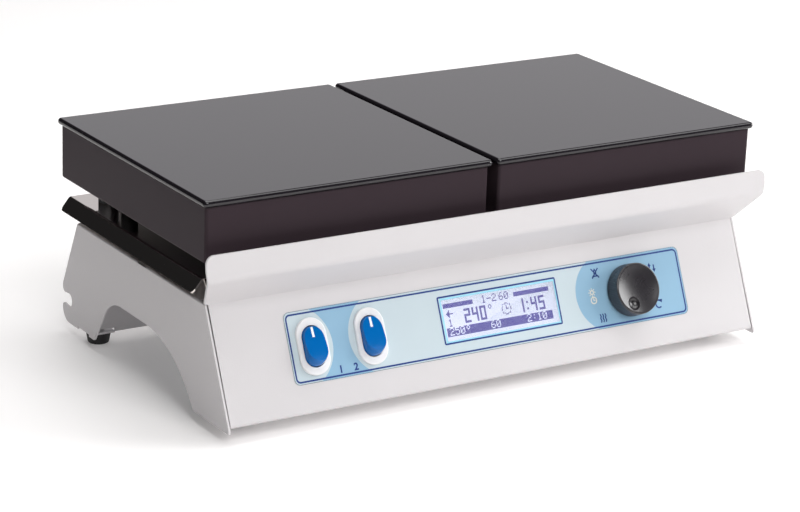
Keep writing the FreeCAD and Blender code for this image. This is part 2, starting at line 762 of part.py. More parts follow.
def heat_shield():
    """Flat shield whose four edges fold down and outwards."""
    fold_x = HALF - SHIELD_SIDE
    fold_y = (FRONT_Y + SHIELD_FRONT, REAR_Y - SHIELD_REAR)
    low = SHIELD_TOP - SHIELD_DROP
    width = 2 * (fold_x + SHIELD_SPREAD)
    depth = fold_y[1] - fold_y[0]
    middle = sum(fold_y) / 2
    across, bends = sheet(
        [(fold_x + SHIELD_SPREAD, low), (fold_x, SHIELD_TOP), (-fold_x, SHIELD_TOP),
         (-fold_x - SHIELD_SPREAD, low)], [SHIELD_BEND_R] * 2, SHIELD_T)
    side_sheet = prism_y(across, bends, *fold_y)
    points, radii = rounded(width, depth, SHIELD_CORNER_R)
    points = [(x, y + middle) for x, y in points]
    side_sheet = side_sheet.common(prism_z(points, radii, 0, GLASS_Z))
    along, bends = sheet(
        [(fold_y[1] + SHIELD_SPREAD, low), (fold_y[1], SHIELD_TOP), (fold_y[0], SHIELD_TOP),
         (fold_y[0] - SHIELD_SPREAD, low)], [SHIELD_BEND_R] * 2, SHIELD_T)
    end = fold_x - SHIELD_NOTCH
    end_sheet = prism_x(along, bends, -end, end)
    points, radii = rounded(2 * end, depth + 2 * SHIELD_SPREAD, SHIELD_CORNER_R)
    points = [(x, y + middle) for x, y in points]
    end_sheet = end_sheet.common(prism_z(points, radii, 0, GLASS_Z))
    shield = fuse([side_sheet, end_sheet])
    for tool in holes(all_posts(), BOLT_D + BOLT_GAP, 0, GLASS_Z) + lead_bush_holes(0, GLASS_Z):
        shield = shield.cut(tool)
    return shield


def foot_height(name):
    return PANEL_FOOT if "front" in name else FOOT_H


def foot(x, y, height):
    """Tapered rubber foot with a recess for its screw."""
    body = Part.makeCone(FOOT_TIP_D / 2, FOOT_D / 2, height, V(x, y, 0))
    lower = [e for e in body.Edges if e.BoundBox.ZMax < 0.1]
    body = body.makeFillet(FOOT_EDGE_R, lower)
    body = body.cut(rod(FOOT_SCREW_D + 0.1, (x, y, -1), (0, 0, 1), height + 2))
    return body.cut(rod(2 * FOOT_SCREW_D, (x, y, -1), (0, 0, 1), height / 2 + 1))


def foot_places():
    front_x = HALF - FRONT_FOOT_INSET
    rear_x = HALF - REAR_FOOT_INSET
    return {
        "foot_front_left": (-front_x, FRONT_FOOT_Y),
        "foot_front_right": (front_x, FRONT_FOOT_Y),
        "foot_rear_left": (-rear_x, REAR_FOOT_Y),
        "foot_rear_right": (rear_x, REAR_FOOT_Y),
    }


def foot_screws():
    """A pan-head screw up through each foot, with its nut on the sheet."""
    pieces = []
    for name, (x, y) in foot_places().items():
        seat = foot_height(name) + CHASSIS_T + (PAN_T if "front" in name else 0)
        head_z = foot_height(name) / 2 - FOOT_HEAD_H
        head = rod(1.8 * FOOT_SCREW_D, (x, y, head_z), (0, 0, 1), FOOT_HEAD_H)
        shank = rod(FOOT_SCREW_D - 0.1, (x, y, head_z), (0, 0, 1), seat + NUT_H + 0.5 - head_z)
        pieces.append(fuse([head, shank]))
        pieces.append(nut(x, y, NUT_AF, NUT_H, FOOT_SCREW_D, seat))
    return pieces


def sleeves(diameter, z, length):
    """A bored sleeve at each bolt."""
    pieces = []
    for x, y in all_posts():
        sleeve = rod(diameter, (x, y, z), (0, 0, 1), length)
        pieces.append(sleeve.cut(rod(BOLT_D + BOLT_GAP, (x, y, z - 1), (0, 0, 1), length + 2)))
    return pieces


def section_bolts():
    """Bolts from under the deck up through sleeve, shield, post and base, with their nuts."""
    pieces = []
    seat = SKIRT_Z + BASE_T
    head_z = DECK_UNDER - BOLT_HEAD_H
    for x, y in all_posts():
        head = rod(BOLT_HEAD_D, (x, y, head_z), (0, 0, 1), BOLT_HEAD_H)
        shank = rod(BOLT_D, (x, y, head_z), (0, 0, 1), seat + NUT_H + 0.5 - head_z)
        pieces.append(fuse([head, shank]))
        pieces.append(nut(x, y, NUT_AF, NUT_H, BOLT_D + 0.05, seat))
    return pieces


# Heated sections

def centred(width, depth, radius, z0, z1, side):
    points, radii = rounded(width, depth, radius)
    points = [(x + side * SECTION_X, y + SECTION_Y) for x, y in points]
    return prism_z(points, radii, z0, z1)


def glass(side):
    """Glass-ceramic plate with a half-round rim."""
    plate = centred(GLASS_W, GLASS_D, GLASS_CORNER_R, GLASS_Z, GLASS_Z + GLASS_T, side)
    rim = [e for e in plate.Edges if e.BoundBox.ZLength < 0.01]
    return plate.makeFillet(min(GLASS_T / 2, GLASS_CORNER_R) - 0.1, rim)


def seal(side):
    """Silicone bead that holds the glass on the skirt's ledge."""
    gap = 2 * (SKIRT_T + SEAL_INSET)
    outer = centred(SKIRT_W - gap, SKIRT_D - gap, SKIRT_CORNER_R - 0.5, SKIRT_TOP, GLASS_Z, side)
    gap += 2 * SEAL_W
    return outer.cut(centred(SKIRT_W - gap, SKIRT_D - gap, 1.0, SKIRT_TOP - 1, GLASS_Z + 1, side))


def skirt(side):
    """Enamelled box of a section, open inside, with a ledge for the glass."""
    body = centred(SKIRT_W, SKIRT_D, SKIRT_CORNER_R, SKIRT_Z, SKIRT_TOP, side)
    lower = [e for e in body.Edges if e.BoundBox.ZMax < SKIRT_Z + 0.01]
    body = body.makeFillet(SKIRT_EDGE_R, lower)
    w = SKIRT_W - 2 * SKIRT_T
    d = SKIRT_D - 2 * SKIRT_T
    body = body.cut(centred(w, d, SKIRT_CORNER_R - SKIRT_T, SKIRT_Z + SKIRT_T, SKIRT_TOP - SKIRT_T, side))
    w -= 2 * SKIRT_LEDGE
    d -= 2 * SKIRT_LEDGE
    return body.cut(centred(w, d, 1.0, SKIRT_Z - 1, SKIRT_TOP + 1, side))


def base(side):
    """Polished base pan that closes a section from below."""
    z = SKIRT_Z + SKIRT_T
    w = SKIRT_W - 2 * SKIRT_T - 2 * FIT_GAP
    d = SKIRT_D - 2 * SKIRT_T - 2 * FIT_GAP
    body = centred(w, d, 1.0, z, z + BASE_RIM, side)
    body = body.cut(centred(w - 2 * BASE_T, d - 2 * BASE_T, 0.5, z + BASE_T, z + BASE_RIM + 1, side))
    w -= 2 * (SKIRT_LEDGE + BASE_GAP)
    d -= 2 * (SKIRT_LEDGE + BASE_GAP)
    sunk = centred(w, d, 1.0, SKIRT_Z, z + BASE_T, side)
    hollow = (w - 2 * BASE_T, d - 2 * BASE_T, 0.5)
    sunk = sunk.cut(centred(*hollow, SKIRT_Z + BASE_T, z + BASE_T + 1, side))
    body = fuse([body.cut(centred(*hollow, z - 1, z + BASE_T + 1, side)), sunk])
    tools = holes(section_posts(side), BOLT_D + BOLT_GAP, SKIRT_Z - 1, z)
    for tool in tools + lead_bush_holes(SKIRT_Z - 1, z):
        body = body.cut(tool)
    return body


def dish(side):
    """Sheet-steel dish of the heater."""
    body = centred(DISH_W, DISH_W, DISH_R, DISH_Z, DISH_TOP, side)
    inner = DISH_W - 2 * DISH_T
    body = body.cut(centred(inner, inner, DISH_R - DISH_T, DISH_Z + DISH_T, DISH_TOP + 1, side))
    return body.cut(limiter_rod(side, LIMITER_D + 2 * LIMITER_GAP))


def insulation(side):
    """Ceramic-fibre tray with a raised wall that meets the glass."""
    outer = DISH_W - 2 * DISH_T
    inner = outer - 2 * INSULATION_WALL
    floor = DISH_Z + DISH_T
    body = centred(outer, outer, DISH_R - DISH_T, floor, GLASS_Z, side)
    body = body.cut(centred(inner, inner, INSULATION_R, floor + INSULATION_FLOOR, GLASS_Z + 1, side))
    return body.cut(limiter_rod(side, LIMITER_D + 2 * LIMITER_GAP))


def limiter_z():
    return DISH_Z + DISH_T + INSULATION_FLOOR + RIBBON_H + LIMITER_LIFT + LIMITER_D / 2


def limiter_rod(side, diameter):
    """The limiter's bore, from its head to the middle of the far insulation wall."""
    start = SECTION_Y - DISH_W / 2 - LIMITER_HEAD[1] / 2
    end = SECTION_Y + DISH_W / 2 - INSULATION_WALL / 2
    return rod(diameter, (side * SECTION_X, start, limiter_z()), (0, 1, 0), end - start)


def limiter(side):
    """Quartz rod across the heater with its ceramic switch block outside the dish."""
    w, d, h = LIMITER_HEAD
    x = side * SECTION_X
    y = SECTION_Y - DISH_W / 2 - LIMITER_GAP
    top = limiter_z() + LIMITER_D / 2
    head = block((x - w / 2, x + w / 2), (y - d, y), (top - h, top))
    return fuse([head, limiter_rod(side, LIMITER_D)])


def heating_ribbon(side):
    """Serpentine resistance ribbon standing on the insulation."""
    span = DISH_W - 2 * (DISH_T + INSULATION_WALL + RIBBON_MARGIN)
    pitch = span / (RIBBON_RUNS - 1)
    x0 = side * SECTION_X - span / 2
    y0 = SECTION_Y - span / 2 + pitch / 2
    y1 = SECTION_Y + span / 2 - pitch / 2
    z0 = DISH_Z + DISH_T + INSULATION_FLOOR
    z = (z0, z0 + RIBBON_H)
    half = RIBBON_T / 2
    pieces = []
    for i in range(RIBBON_RUNS):
        x = x0 + i * pitch
        pieces.append(block((x - half, x + half), (y0, y1), z))
        if i == RIBBON_RUNS - 1:
            break
        y = y1 if i % 2 == 0 else y0
        centre = (x + pitch / 2, y, z0)
        ring = rod(pitch + RIBBON_T, centre, (0, 0, 1), RIBBON_H)
        ring = ring.cut(rod(pitch - RIBBON_T, centre, (0, 0, 1), RIBBON_H))
        half_plane = (y, y + pitch) if i % 2 == 0 else (y - pitch, y)
        pieces.append(ring.common(block((x - pitch, x + 2 * pitch), half_plane, z)))
    return fuse(pieces)


def heater_springs():
    """Bent leaf springs that press both heaters up against the glass."""
    low = SKIRT_Z + BASE_T
    high = DISH_Z - SPRING_T
    inner, outer = SPRING_FOOT / 2, 1.5 * SPRING_FOOT
    springs = []
    for side in (-1, 1):
        for i in (-1, 1):
            for j in (-1, 1):
                x = side * SECTION_X + i * SPRING_X
                y = SECTION_Y + j * SPRING_Y
                points, radii = sheet([(y - outer, low), (y - inner, low), (y + inner, high), (y + outer, high)],
                                      [SPRING_T, SPRING_T], SPRING_T)
                springs.append(prism_x(points, radii, x - SPRING_W / 2, x + SPRING_W / 2))
    return springs


# Controls on the front panel

def window_block(margin, h0, h1):
    x0, x1 = WINDOW_X[0] - margin, WINDOW_X[1] + margin
    half = WINDOW_H / 2 + margin
    points = [(x0, WINDOW_MID - half), (x1, WINDOW_MID - half), (x1, WINDOW_MID + half), (x0, WINDOW_MID + half)]
    return prism_z(points, [WINDOW_R] * 4, h0, h1)


def control_label():
    """Printed overlay with openings for the switches, the display and the encoder."""
    x0, x1 = LABEL_X0, LABEL_X0 + LABEL_W
    v0, v1 = LABEL_TOP - LABEL_H, LABEL_TOP
    body = prism_z([(x0, v0), (x1, v0), (x1, v1), (x0, v1)], [LABEL_R] * 4, 0, LABEL_T)
    for x in SWITCH_X:
        body = body.cut(switch_hole(x, -1, 1))
    body = body.cut(window_block(0, -1, 1))
    body = body.cut(rod(BUSH_D + 2 * FIT_GAP, (KNOB_X, KNOB_V, -1), (0, 0, 1), 3))
    return on_panel(body)


def display_window():
    """Clear pane set flush in the panel behind the label."""
    return on_panel(window_block(WINDOW_LIP, -WINDOW_T, 0))


def display_panel():
    """Dot-matrix display glass behind the window."""
    return on_panel(window_block(LCD_MARGIN, -WINDOW_T - LCD_T, -WINDOW_T))


def display_frame():
    """Metal frame round the display glass."""
    back = -WINDOW_T - LCD_T
    outer = window_block(LCD_MARGIN + LCD_FRAME_T, back, -WINDOW_T)
    return on_panel(outer.cut(window_block(LCD_MARGIN, back - 1, 1)))


def display_board():
    top = -WINDOW_T - LCD_T
    return on_panel(window_block(LCD_BOARD_MARGIN, top - LCD_BOARD_T, top))


def display_spacers():
    """Nylon blocks between the display board and the control board."""
    top = -WINDOW_T - LCD_T - LCD_BOARD_T
    pieces = []
    for x in WINDOW_X:
        for side in (-1, 1):
            v = WINDOW_MID + side * WINDOW_H / 2
            piece = rod(LCD_SPACER_D, (x, v, ENCODER_BACK), (0, 0, 1), top - ENCODER_BACK)
            pieces.append(on_panel(piece))
    return pieces


def control_board():
    """Circuit board that carries the encoder, held behind the panel."""
    x0, x1 = BOARD_X
    v1 = LABEL_MID + BOARD_ABOVE
    v0 = v1 - BOARD_H
    points = [(x0, v0), (x1, v0), (x1, v1), (x0, v1)]
    board = prism_z(points, [BOARD_R] * 4, ENCODER_BACK - BOARD_T, ENCODER_BACK)
    for x, v in standoff_places():
        board = board.cut(rod(BOARD_HOLE_D, (x, v, ENCODER_BACK - BOARD_T - 1), (0, 0, 1), BOARD_T + 2))
    return on_panel(board)


def standoff_places():
    x0, x1 = BOARD_X
    v1 = LABEL_MID + BOARD_ABOVE
    e = STANDOFF_EDGE
    return [(x, v) for x in (x0 + e, x1 - e) for v in (v1 - BOARD_H + e, v1 - e)]


def board_standoffs():
    """Press-in studs on the panel's back that hold the control board."""
    studs = []
    for x, v in standoff_places():
        body = rod(STANDOFF_D, (x, v, ENCODER_BACK), (0, 0, 1), -CHASSIS_T - ENCODER_BACK)
        length = BOARD_T + STUD_TIP_L
        tip = rod(STUD_TIP_D, (x, v, ENCODER_BACK - length), (0, 0, 1), length + 1)
        studs.append(on_panel(fuse([body, tip])))
    return studs


SWITCH_BODY_W = CAVITY_W + 2 * SWITCH_WALL
SWITCH_BODY_L = CAVITY_L + 2 * SWITCH_WALL
ROCKER_W = CAVITY_W - 2 * ROCKER_GAP


def switch_body(x):
    """White bezel and housing in one moulding, hollow for the paddle."""
    bezel = obround(BEZEL_W, BEZEL_L, LABEL_T, LABEL_T + BEZEL_T)
    rim = [e for e in bezel.Edges if e.BoundBox.ZMin > LABEL_T + BEZEL_T - 0.01]
    bezel = bezel.makeFillet(BEZEL_EDGE_R, rim)
    points, radii = rounded(SWITCH_BODY_W, SWITCH_BODY_L, SWITCH_WALL_R)
    housing = prism_z(points, radii, -SWITCH_BODY_DEPTH, LABEL_T + BEZEL_T / 3)
    body = fuse([bezel, housing])
    body = body.cut(obround(CAVITY_W, CAVITY_L, -CAVITY_DEPTH, LABEL_T + BEZEL_T + 1))
    reach = ROCKER_W / 2 + PIVOT_L + PIVOT_CLEAR
    pivot = rod(2 * (PIVOT_R + PIVOT_CLEAR), (-reach, 0, PIVOT_H), (1, 0, 0), 2 * reach)
    return on_panel(body.cut(pivot), x, SWITCH_V)


def barrel(half, radius):
    """Solid of turning about X with rounded ends, so that it fills its opening at any tilt."""
    waist = radius - half
    ends = [V(-half, 0, 0), V(-half, waist, 0), V(half, waist, 0), V(half, 0, 0)]
    arc = Part.Arc(ends[1], V(0, radius, 0), ends[2])
    lines = [Part.LineSegment(ends[0], ends[1]), arc, Part.LineSegment(ends[2], ends[3]),
             Part.LineSegment(ends[3], ends[0])]
    wire = Part.Wire([c.toShape() for c in lines])
    return Part.Face(wire).revolve(V(0, 0, 0), V(1, 0, 0), 360)


def rocker(x):
    """Blue paddle with stub pivots, tilted so that its upper end is pressed in."""
    crest = math.radians(ROCKER_CREST)
    crest_v = ROCKER_R * math.sin(crest)
    crest_h = ROCKER_R * math.cos(crest)
    foot_v = math.sqrt(ROCKER_R ** 2 - ROCKER_BELOW ** 2)
    face = Part.Arc(V(0, -crest_v, crest_h), V(0, 0, crest_h - ROCKER_DISH), V(0, crest_v, crest_h))
    upper = Part.Arc(V(0, crest_v, crest_h), V(0, ROCKER_R, 0), V(0, foot_v, -ROCKER_BELOW))
    bottom = Part.LineSegment(V(0, foot_v, -ROCKER_BELOW), V(0, -foot_v, -ROCKER_BELOW))
    lower = Part.Arc(V(0, -foot_v, -ROCKER_BELOW), V(0, -ROCKER_R, 0), V(0, -crest_v, crest_h))
    wire = Part.Wire([c.toShape() for c in (face, upper, bottom, lower)])
    profile = Part.Face(wire).extrude(V(ROCKER_W, 0, 0))
    profile.translate(V(-ROCKER_W / 2, 0, 0))
    body = profile.common(barrel(ROCKER_W / 2, ROCKER_R + 0.05))
    reach = ROCKER_W / 2 + PIVOT_L
    body = fuse([body, rod(2 * PIVOT_R, (-reach, 0, 0), (1, 0, 0), 2 * reach)])
    body.rotate(V(0, 0, 0), V(1, 0, 0), -ROCKER_TILT)
    return on_panel(body, x, SWITCH_V, PIVOT_H)


def switch_terminals():
    """Push-on blades under both switches."""
    blades = []
    for x in SWITCH_X:
        for i in (-1, 0, 1):
            v = i * BLADE_PITCH
            blade = block((-BLADE_W / 2, BLADE_W / 2), (v - BLADE_T / 2, v + BLADE_T / 2),
                          (-SWITCH_BODY_DEPTH - BLADE_L, -SWITCH_BODY_DEPTH))
            blades.append(on_panel(blade, x, SWITCH_V))
    return blades


def encoder_body():
    """Encoder housing with its threaded bush, bored for the shaft and the rotor."""
    points, radii = rounded(ENCODER_W, ENCODER_L, 0.6)
    body = prism_z(points, radii, ENCODER_BACK, -CHASSIS_T)
    body = fuse([body, rod(BUSH_D, (0, 0, -CHASSIS_T), (0, 0, 1), CHASSIS_T + BUSH_H)])
    bore = SHAFT_D + 2 * SHAFT_CLEAR
    floor = ENCODER_BACK + ENCODER_FLOOR
    body = body.cut(rod(bore, (0, 0, floor), (0, 0, 1), BUSH_H - floor + 1))
    cavity = ROTOR_D + 2 * ROTOR_CLEAR
    rotor_z = -CHASSIS_T - ROTOR_DEPTH - ROTOR_FLOAT
    body = body.cut(rod(cavity, (0, 0, rotor_z), (0, 0, 1), ROTOR_H + 2 * ROTOR_FLOAT))
    return on_panel(body, KNOB_X, KNOB_V)


def shaft_section(diameter, flat, h0, h1):
    """Round bar with one flat, which drives the rotor and the knob."""
    bar = rod(diameter, (0, 0, h0), (0, 0, 1), h1 - h0)
    return bar.cut(block((-diameter, diameter), (diameter / 2 - flat, diameter), (h0 - 1, h1 + 1)))


def encoder_rotor():
    """Detent wheel that the shaft turns and slides through."""
    low = -CHASSIS_T - ROTOR_DEPTH
    body = rod(ROTOR_D, (0, 0, low), (0, 0, 1), ROTOR_H)
    bore = shaft_section(SHAFT_D + 2 * SHAFT_CLEAR, SHAFT_FLAT, low - 1, low + ROTOR_H + 1)
    return on_panel(body.cut(bore), KNOB_X, KNOB_V)


def encoder_shaft():
    floor = ENCODER_BACK + ENCODER_FLOOR
    bar = shaft_section(SHAFT_D, SHAFT_FLAT, floor + PRESS_TRAVEL + 0.2, SHAFT_TOP)
    return on_panel(bar, KNOB_X, KNOB_V)


def encoder_nut():
    """Nut that clamps the encoder to the panel, inside the knob's hollow."""
    return on_panel(nut(0, 0, ENCODER_NUT_AF, ENCODER_NUT_H, BUSH_D, LABEL_T), KNOB_X, KNOB_V)


def knob():
    """Round knob, dished face, a finger dimple near its lower edge, hollow underneath."""
    low, high = KNOB_LIFT, KNOB_LIFT + KNOB_H
    body = Part.makeCone(KNOB_D / 2, KNOB_FACE_D / 2, KNOB_H, V(0, 0, low))
    rim = [e for e in body.Edges if e.BoundBox.ZMin > high - 0.01]
    body = body.makeFillet(KNOB_EDGE_R, rim)
    dish_r = KNOB_FACE_D / 2 - KNOB_RIM
    radius = (dish_r ** 2 + KNOB_DISH ** 2) / (2 * KNOB_DISH)
    body = body.cut(Part.makeSphere(radius, V(0, 0, high - KNOB_DISH + radius)))
    angle = math.radians(DIMPLE_ANGLE)
    x = DIMPLE_OFFSET * math.cos(angle)
    v = DIMPLE_OFFSET * math.sin(angle)
    r = ((DIMPLE_D / 2) ** 2 + DIMPLE_DEPTH ** 2) / (2 * DIMPLE_DEPTH)
    face = high - KNOB_DISH / 2
    body = body.cut(Part.makeSphere(r, V(x, v, face - DIMPLE_DEPTH + r)))
    body = body.cut(rod(KNOB_HOLLOW_D, (0, 0, low - 1), (0, 0, 1), KNOB_HOLLOW_H + 1))
    bore = shaft_section(SHAFT_D, SHAFT_FLAT, low - 1, SHAFT_TOP)
    return on_panel(body.cut(bore), KNOB_X, KNOB_V)


# Mains inlet in the rear panel

def inlet_prism(width, height, x, y0, y1, radius):
    """Rounded block along Y, at the inlet's height."""
    w, h = width / 2, height / 2
    points = [(x - w, INLET_Z - h), (x + w, INLET_Z - h), (x + w, INLET_Z + h), (x - w, INLET_Z + h)]
    return prism_y(points, [radius] * 4, y0, y1)


def mains_inlet():
    """Inlet moulding with its socket and the bay of the fuse drawer."""
    flange = inlet_prism(*INLET_FLANGE, INLET_X, WALL_BACK, INLET_FACE, INLET_FLANGE_R)
    body = inlet_prism(*INLET_BODY, INLET_X, INLET_FACE - INLET_DEPTH, WALL_BACK, SOCKET_R)
    shape = fuse([flange, body])
    w, h, c = SOCKET_W / 2, SOCKET_H / 2, SOCKET_CHAMFER
    x, z = SOCKET_X, INLET_Z
    points = [(x - w, z - h), (x + w, z - h), (x + w, z + h - c), (x + w - c, z + h), (x - w + c, z + h),
              (x - w, z + h - c)]
    shape = shape.cut(prism_y(points, [SOCKET_R] * 6, INLET_FACE - SOCKET_DEPTH, INLET_FACE + 1))
    bay = inlet_prism(DRAWER_W, DRAWER_H, DRAWER_X, INLET_FACE - DRAWER_DEPTH - DRAWER_GAP, INLET_FACE + 1, 0.8)
    return shape.cut(bay)


def pin_places():
    return ((SOCKET_X - PIN_SPREAD, INLET_Z - PIN_RISE), (SOCKET_X, INLET_Z + PIN_RISE),
            (SOCKET_X + PIN_SPREAD, INLET_Z - PIN_RISE))


def inlet_pins():
    """Three contact pins and their rear tabs."""
    pins = []
    floor = INLET_FACE - SOCKET_DEPTH
    back = INLET_FACE - INLET_DEPTH
    for x, z in pin_places():
        pins.append(block((x - PIN_T / 2, x + PIN_T / 2), (floor, floor + PIN_L), (z - PIN_W / 2, z + PIN_W / 2)))
        pins.append(block((x - TAB_T / 2, x + TAB_T / 2), (back - TAB_L, back), (z - TAB_W / 2, z + TAB_W / 2)))
    return pins


def fuse_places():
    y = INLET_FACE - DRAWER_DEPTH + FUSE_END
    return [(DRAWER_X, y, INLET_Z + i * FUSE_SPREAD / 2) for i in (-1, 1)]


def fuse_drawer():
    """Drawer with a finger face and two troughs for the fuses."""
    gap = 2 * DRAWER_GAP
    seat = INLET_FACE + DRAWER_SEAT
    front = INLET_FACE + DRAWER_FACE_T
    body = inlet_prism(DRAWER_W - gap, DRAWER_H - gap, DRAWER_X, INLET_FACE - DRAWER_DEPTH, seat, 0.6)
    shape = fuse([body, inlet_prism(*DRAWER_FACE, DRAWER_X, seat, front, 1.0)])
    for x, y, z in fuse_places():
        shape = shape.cut(rod(FUSE_D, (x, y, z), (0, 1, 0), FUSE_L))
        shape = shape.cut(block((x, x + DRAWER_W), (y, y + FUSE_L), (z - FUSE_D / 2, z + FUSE_D / 2)))
    w, h, d = DRAWER_GRIP
    grip = block((DRAWER_X - w / 2, DRAWER_X + w / 2), (front - d, front + 1), (INLET_Z - h / 2, INLET_Z + h / 2))
    return shape.cut(grip)


def fuses():
    return [rod(FUSE_D, place, (0, 1, 0), FUSE_L) for place in fuse_places()]


# Power electronics

def standing(size, x, y, z):
    """A block of a given size standing on z, about x and y."""
    w, d, h = size
    return block((x - w / 2, x + w / 2), (y - d / 2, y + d / 2), (z, z + h))


def relay(side):
    """Solid-state relay block with stepped terminal ends."""
    w, d, h = RELAY
    edge, step, sink = RELAY_STEP
    x, y = side * RELAY_X, RELAY_Y
    body = standing(RELAY, x, y, PAN_TOP)
    for j in (-1, 1):
        size = (w - 2 * edge, 2 * step, sink + 1)
        body = body.cut(standing(size, x, y + j * d / 2, PAN_TOP + h - sink))
    return body


def relay_screws():
    """Terminal screws on both relays."""
    screws = []
    w, d, h = RELAY
    edge, step, sink = RELAY_STEP
    for side in (-1, 1):
        for i in (-1, 1):
            for j in (-1, 1):
                x = side * RELAY_X + i * RELAY_SCREW_X
                y = RELAY_Y + j * (d - step) / 2
                screws.append(rod(RELAY_SCREW_D, (x, y, PAN_TOP + h - sink), (0, 0, 1), RELAY_SCREW_H))
    return screws


def board_post_places():
    w, d = POWER_BOARD
    x, y = w / 2 - BOARD_EDGE, d / 2 - BOARD_EDGE
    return [(i * x, POWER_BOARD_Y + j * y) for i in (-1, 1) for j in (-1, 1)]


def power_board():
    board = standing((*POWER_BOARD, BOARD_T), 0, POWER_BOARD_Y, PAN_TOP + BOARD_LIFT)
    for tool in holes(board_post_places(), BOARD_HOLE_D, PAN_TOP, POWER_BOARD_TOP + 1):
        board = board.cut(tool)
    return board


def power_board_posts():
    studs = []
    for x, y in board_post_places():
        stud = rod(BOARD_POST_D, (x, y, PAN_TOP), (0, 0, 1), BOARD_LIFT)
        tip = rod(STUD_TIP_D, (x, y, PAN_TOP), (0, 0, 1), BOARD_LIFT + BOARD_T + STUD_TIP_L)
        studs.append(fuse([stud, tip]))
    return studs


def transformer():
    """Potted transformer on the power board."""
    body = standing(TRANSFORMER, TRANSFORMER_X, POWER_BOARD_Y, POWER_BOARD_TOP)
    top = [e for e in body.Edges if e.BoundBox.ZMin > body.BoundBox.ZMax - 0.01]
    return body.makeChamfer(TRANSFORMER_EDGE, top)


def capacitors():
    """Smoothing capacitors on the power board."""
    places = [(CAPACITOR_X + i * CAPACITOR_SPREAD, POWER_BOARD_Y - CAPACITOR_D) for i in (-1, 0, 1)]
    return [rod(CAPACITOR_D, (x, y, POWER_BOARD_TOP), (0, 0, 1), CAPACITOR_H) for x, y in places]


def terminal_places():
    pitch = TERMINALS[0] / TERMINAL_COUNT
    middle = (TERMINAL_COUNT - 1) / 2
    return [(TERMINAL_X + (i - middle) * pitch, TERMINAL_Y) for i in range(TERMINAL_COUNT)]


def terminal_block():
    """Screw terminal strip between the inlet and the switches."""
    body = standing(TERMINALS, TERMINAL_X, TERMINAL_Y, PAN_TOP)
    top = PAN_TOP + TERMINALS[2]
    for tool in holes(terminal_places(), TERMINAL_WELL_D, top - TERMINAL_WELL_H, top + 1):
        body = body.cut(tool)
    return body


def terminal_screws():
    z = PAN_TOP + TERMINALS[2] - TERMINAL_WELL_H
    return holes(terminal_places(), TERMINAL_SCREW_D, z, z + TERMINAL_SCREW_H)


def mains_leads():
    """Two leads from the inlet's tabs to the terminal strip."""
    end_x = TERMINAL_X + TERMINALS[0] / 2
    end_z = PAN_TOP + TERMINALS[2] / 2
    start_y = INLET_FACE - INLET_DEPTH - TAB_L
    leads = []
    for i, (x, z) in enumerate((pin_places()[0], pin_places()[2])):
        turn_y = start_y - MAINS_RUN - i * MAINS_STEP
        end_y = TERMINAL_Y - i * MAINS_STEP + LEAD_D / 2
        near_x = end_x + 2 * MAINS_RUN
        path = [(x, start_y, z), (x, turn_y, z), ((x + near_x) / 2, turn_y, end_z), (near_x, end_y, end_z),
                (end_x, end_y, end_z)]
        leads.append(tube(path, MAINS_BEND_R, LEAD_D))
    return leads


def lead_bush_holes(z0, z1):
    places = [(side * LEAD_X, LEAD_Y) for side in (-1, 1)]
    return holes(places, LEAD_BUSH_D + LEAD_BUSH_GAP, z0, z1)


def lead_bush(side):
    """Insulating bush that carries the heater leads through deck, shield and base."""
    place = (side * LEAD_X, LEAD_Y, DECK_UNDER)
    top = SKIRT_Z + BASE_T + LEAD_BUSH_END
    body = rod(LEAD_BUSH_D, place, (0, 0, 1), top - DECK_UNDER)
    collar = rod(LEAD_BUSH_LIP, (place[0], place[1], DECK_TOP), (0, 0, 1), SHIELD_LIFT)
    body = fuse([body, collar])
    for tool in holes(lead_places(side), LEAD_D + LEAD_GAP, DECK_UNDER - 1, top + 1):
        body = body.cut(tool)
    return body


def heater_leads(side):
    """Two leads from the relay up through the bush to the heater."""
    leads = []
    z = PAN_TOP + RELAY[2] - LEAD_DROP
    start_y = RELAY_Y + RELAY[1] / 2
    for i, (x, y) in zip((-1, 1), lead_places(side)):
        start_x = side * (RELAY_X + i * LEAD_START)
        turn_y = start_y + LEAD_RUN + (LEAD_STEP if i < 0 else 0)
        path = [(start_x, start_y, z), (start_x, turn_y, z), (x, turn_y + LEAD_SLANT, z), (x, y, z), (x, y, DISH_Z)]
        leads.append(tube(path, LEAD_BEND_R, LEAD_D))
    return group(leads)


def ribbon_cable():
    """Flat cable from the control board to the power board."""
    width, thick = RIBBON_CABLE
    back = ENCODER_BACK - BOARD_T
    v = LABEL_MID + BOARD_ABOVE - BOARD_H / 2
    y = PANEL_Y + v * math.sin(LEAN) - back * math.cos(LEAN)
    z = FOOT_H + v * math.cos(LEAN) + back * math.sin(LEAN)
    edge = POWER_BOARD_Y - POWER_BOARD[1] / 2
    out = (y + CABLE_OUT * math.cos(LEAN), z - CABLE_OUT * math.sin(LEAN))
    points, radii = sheet(
        [(y, z), out, (edge - 3 * CABLE_BEND_R, POWER_BOARD_TOP), (edge + CABLE_LAND, POWER_BOARD_TOP)],
        [CABLE_BEND_R, CABLE_BEND_R], thick)
    return prism_x(points, radii, -width / 2, width / 2)


def earth_stud():
    """Earth stud on the bottom pan with its nut."""
    x, y = -HALF + EARTH_INSET, WALL_Y - EARTH_AHEAD
    lift, height = EARTH_NUT
    stud = rod(EARTH_D, (x, y, PAN_TOP), (0, 0, 1), EARTH_H)
    return fuse([stud, nut(x, y, EARTH_AF, height, 0, PAN_TOP + lift)])


def save(name, shape):
    """Write one node and report its solids."""
    if isinstance(shape, list):
        shape = group(shape)
    if not shape.isValid():
        print("NOT VALID", name)
    print(f"{name:20s} solids {len(shape.Solids):2d} volume {shape.Volume:10.1f}")
    shape.exportStep(f"parts/{name}.step")


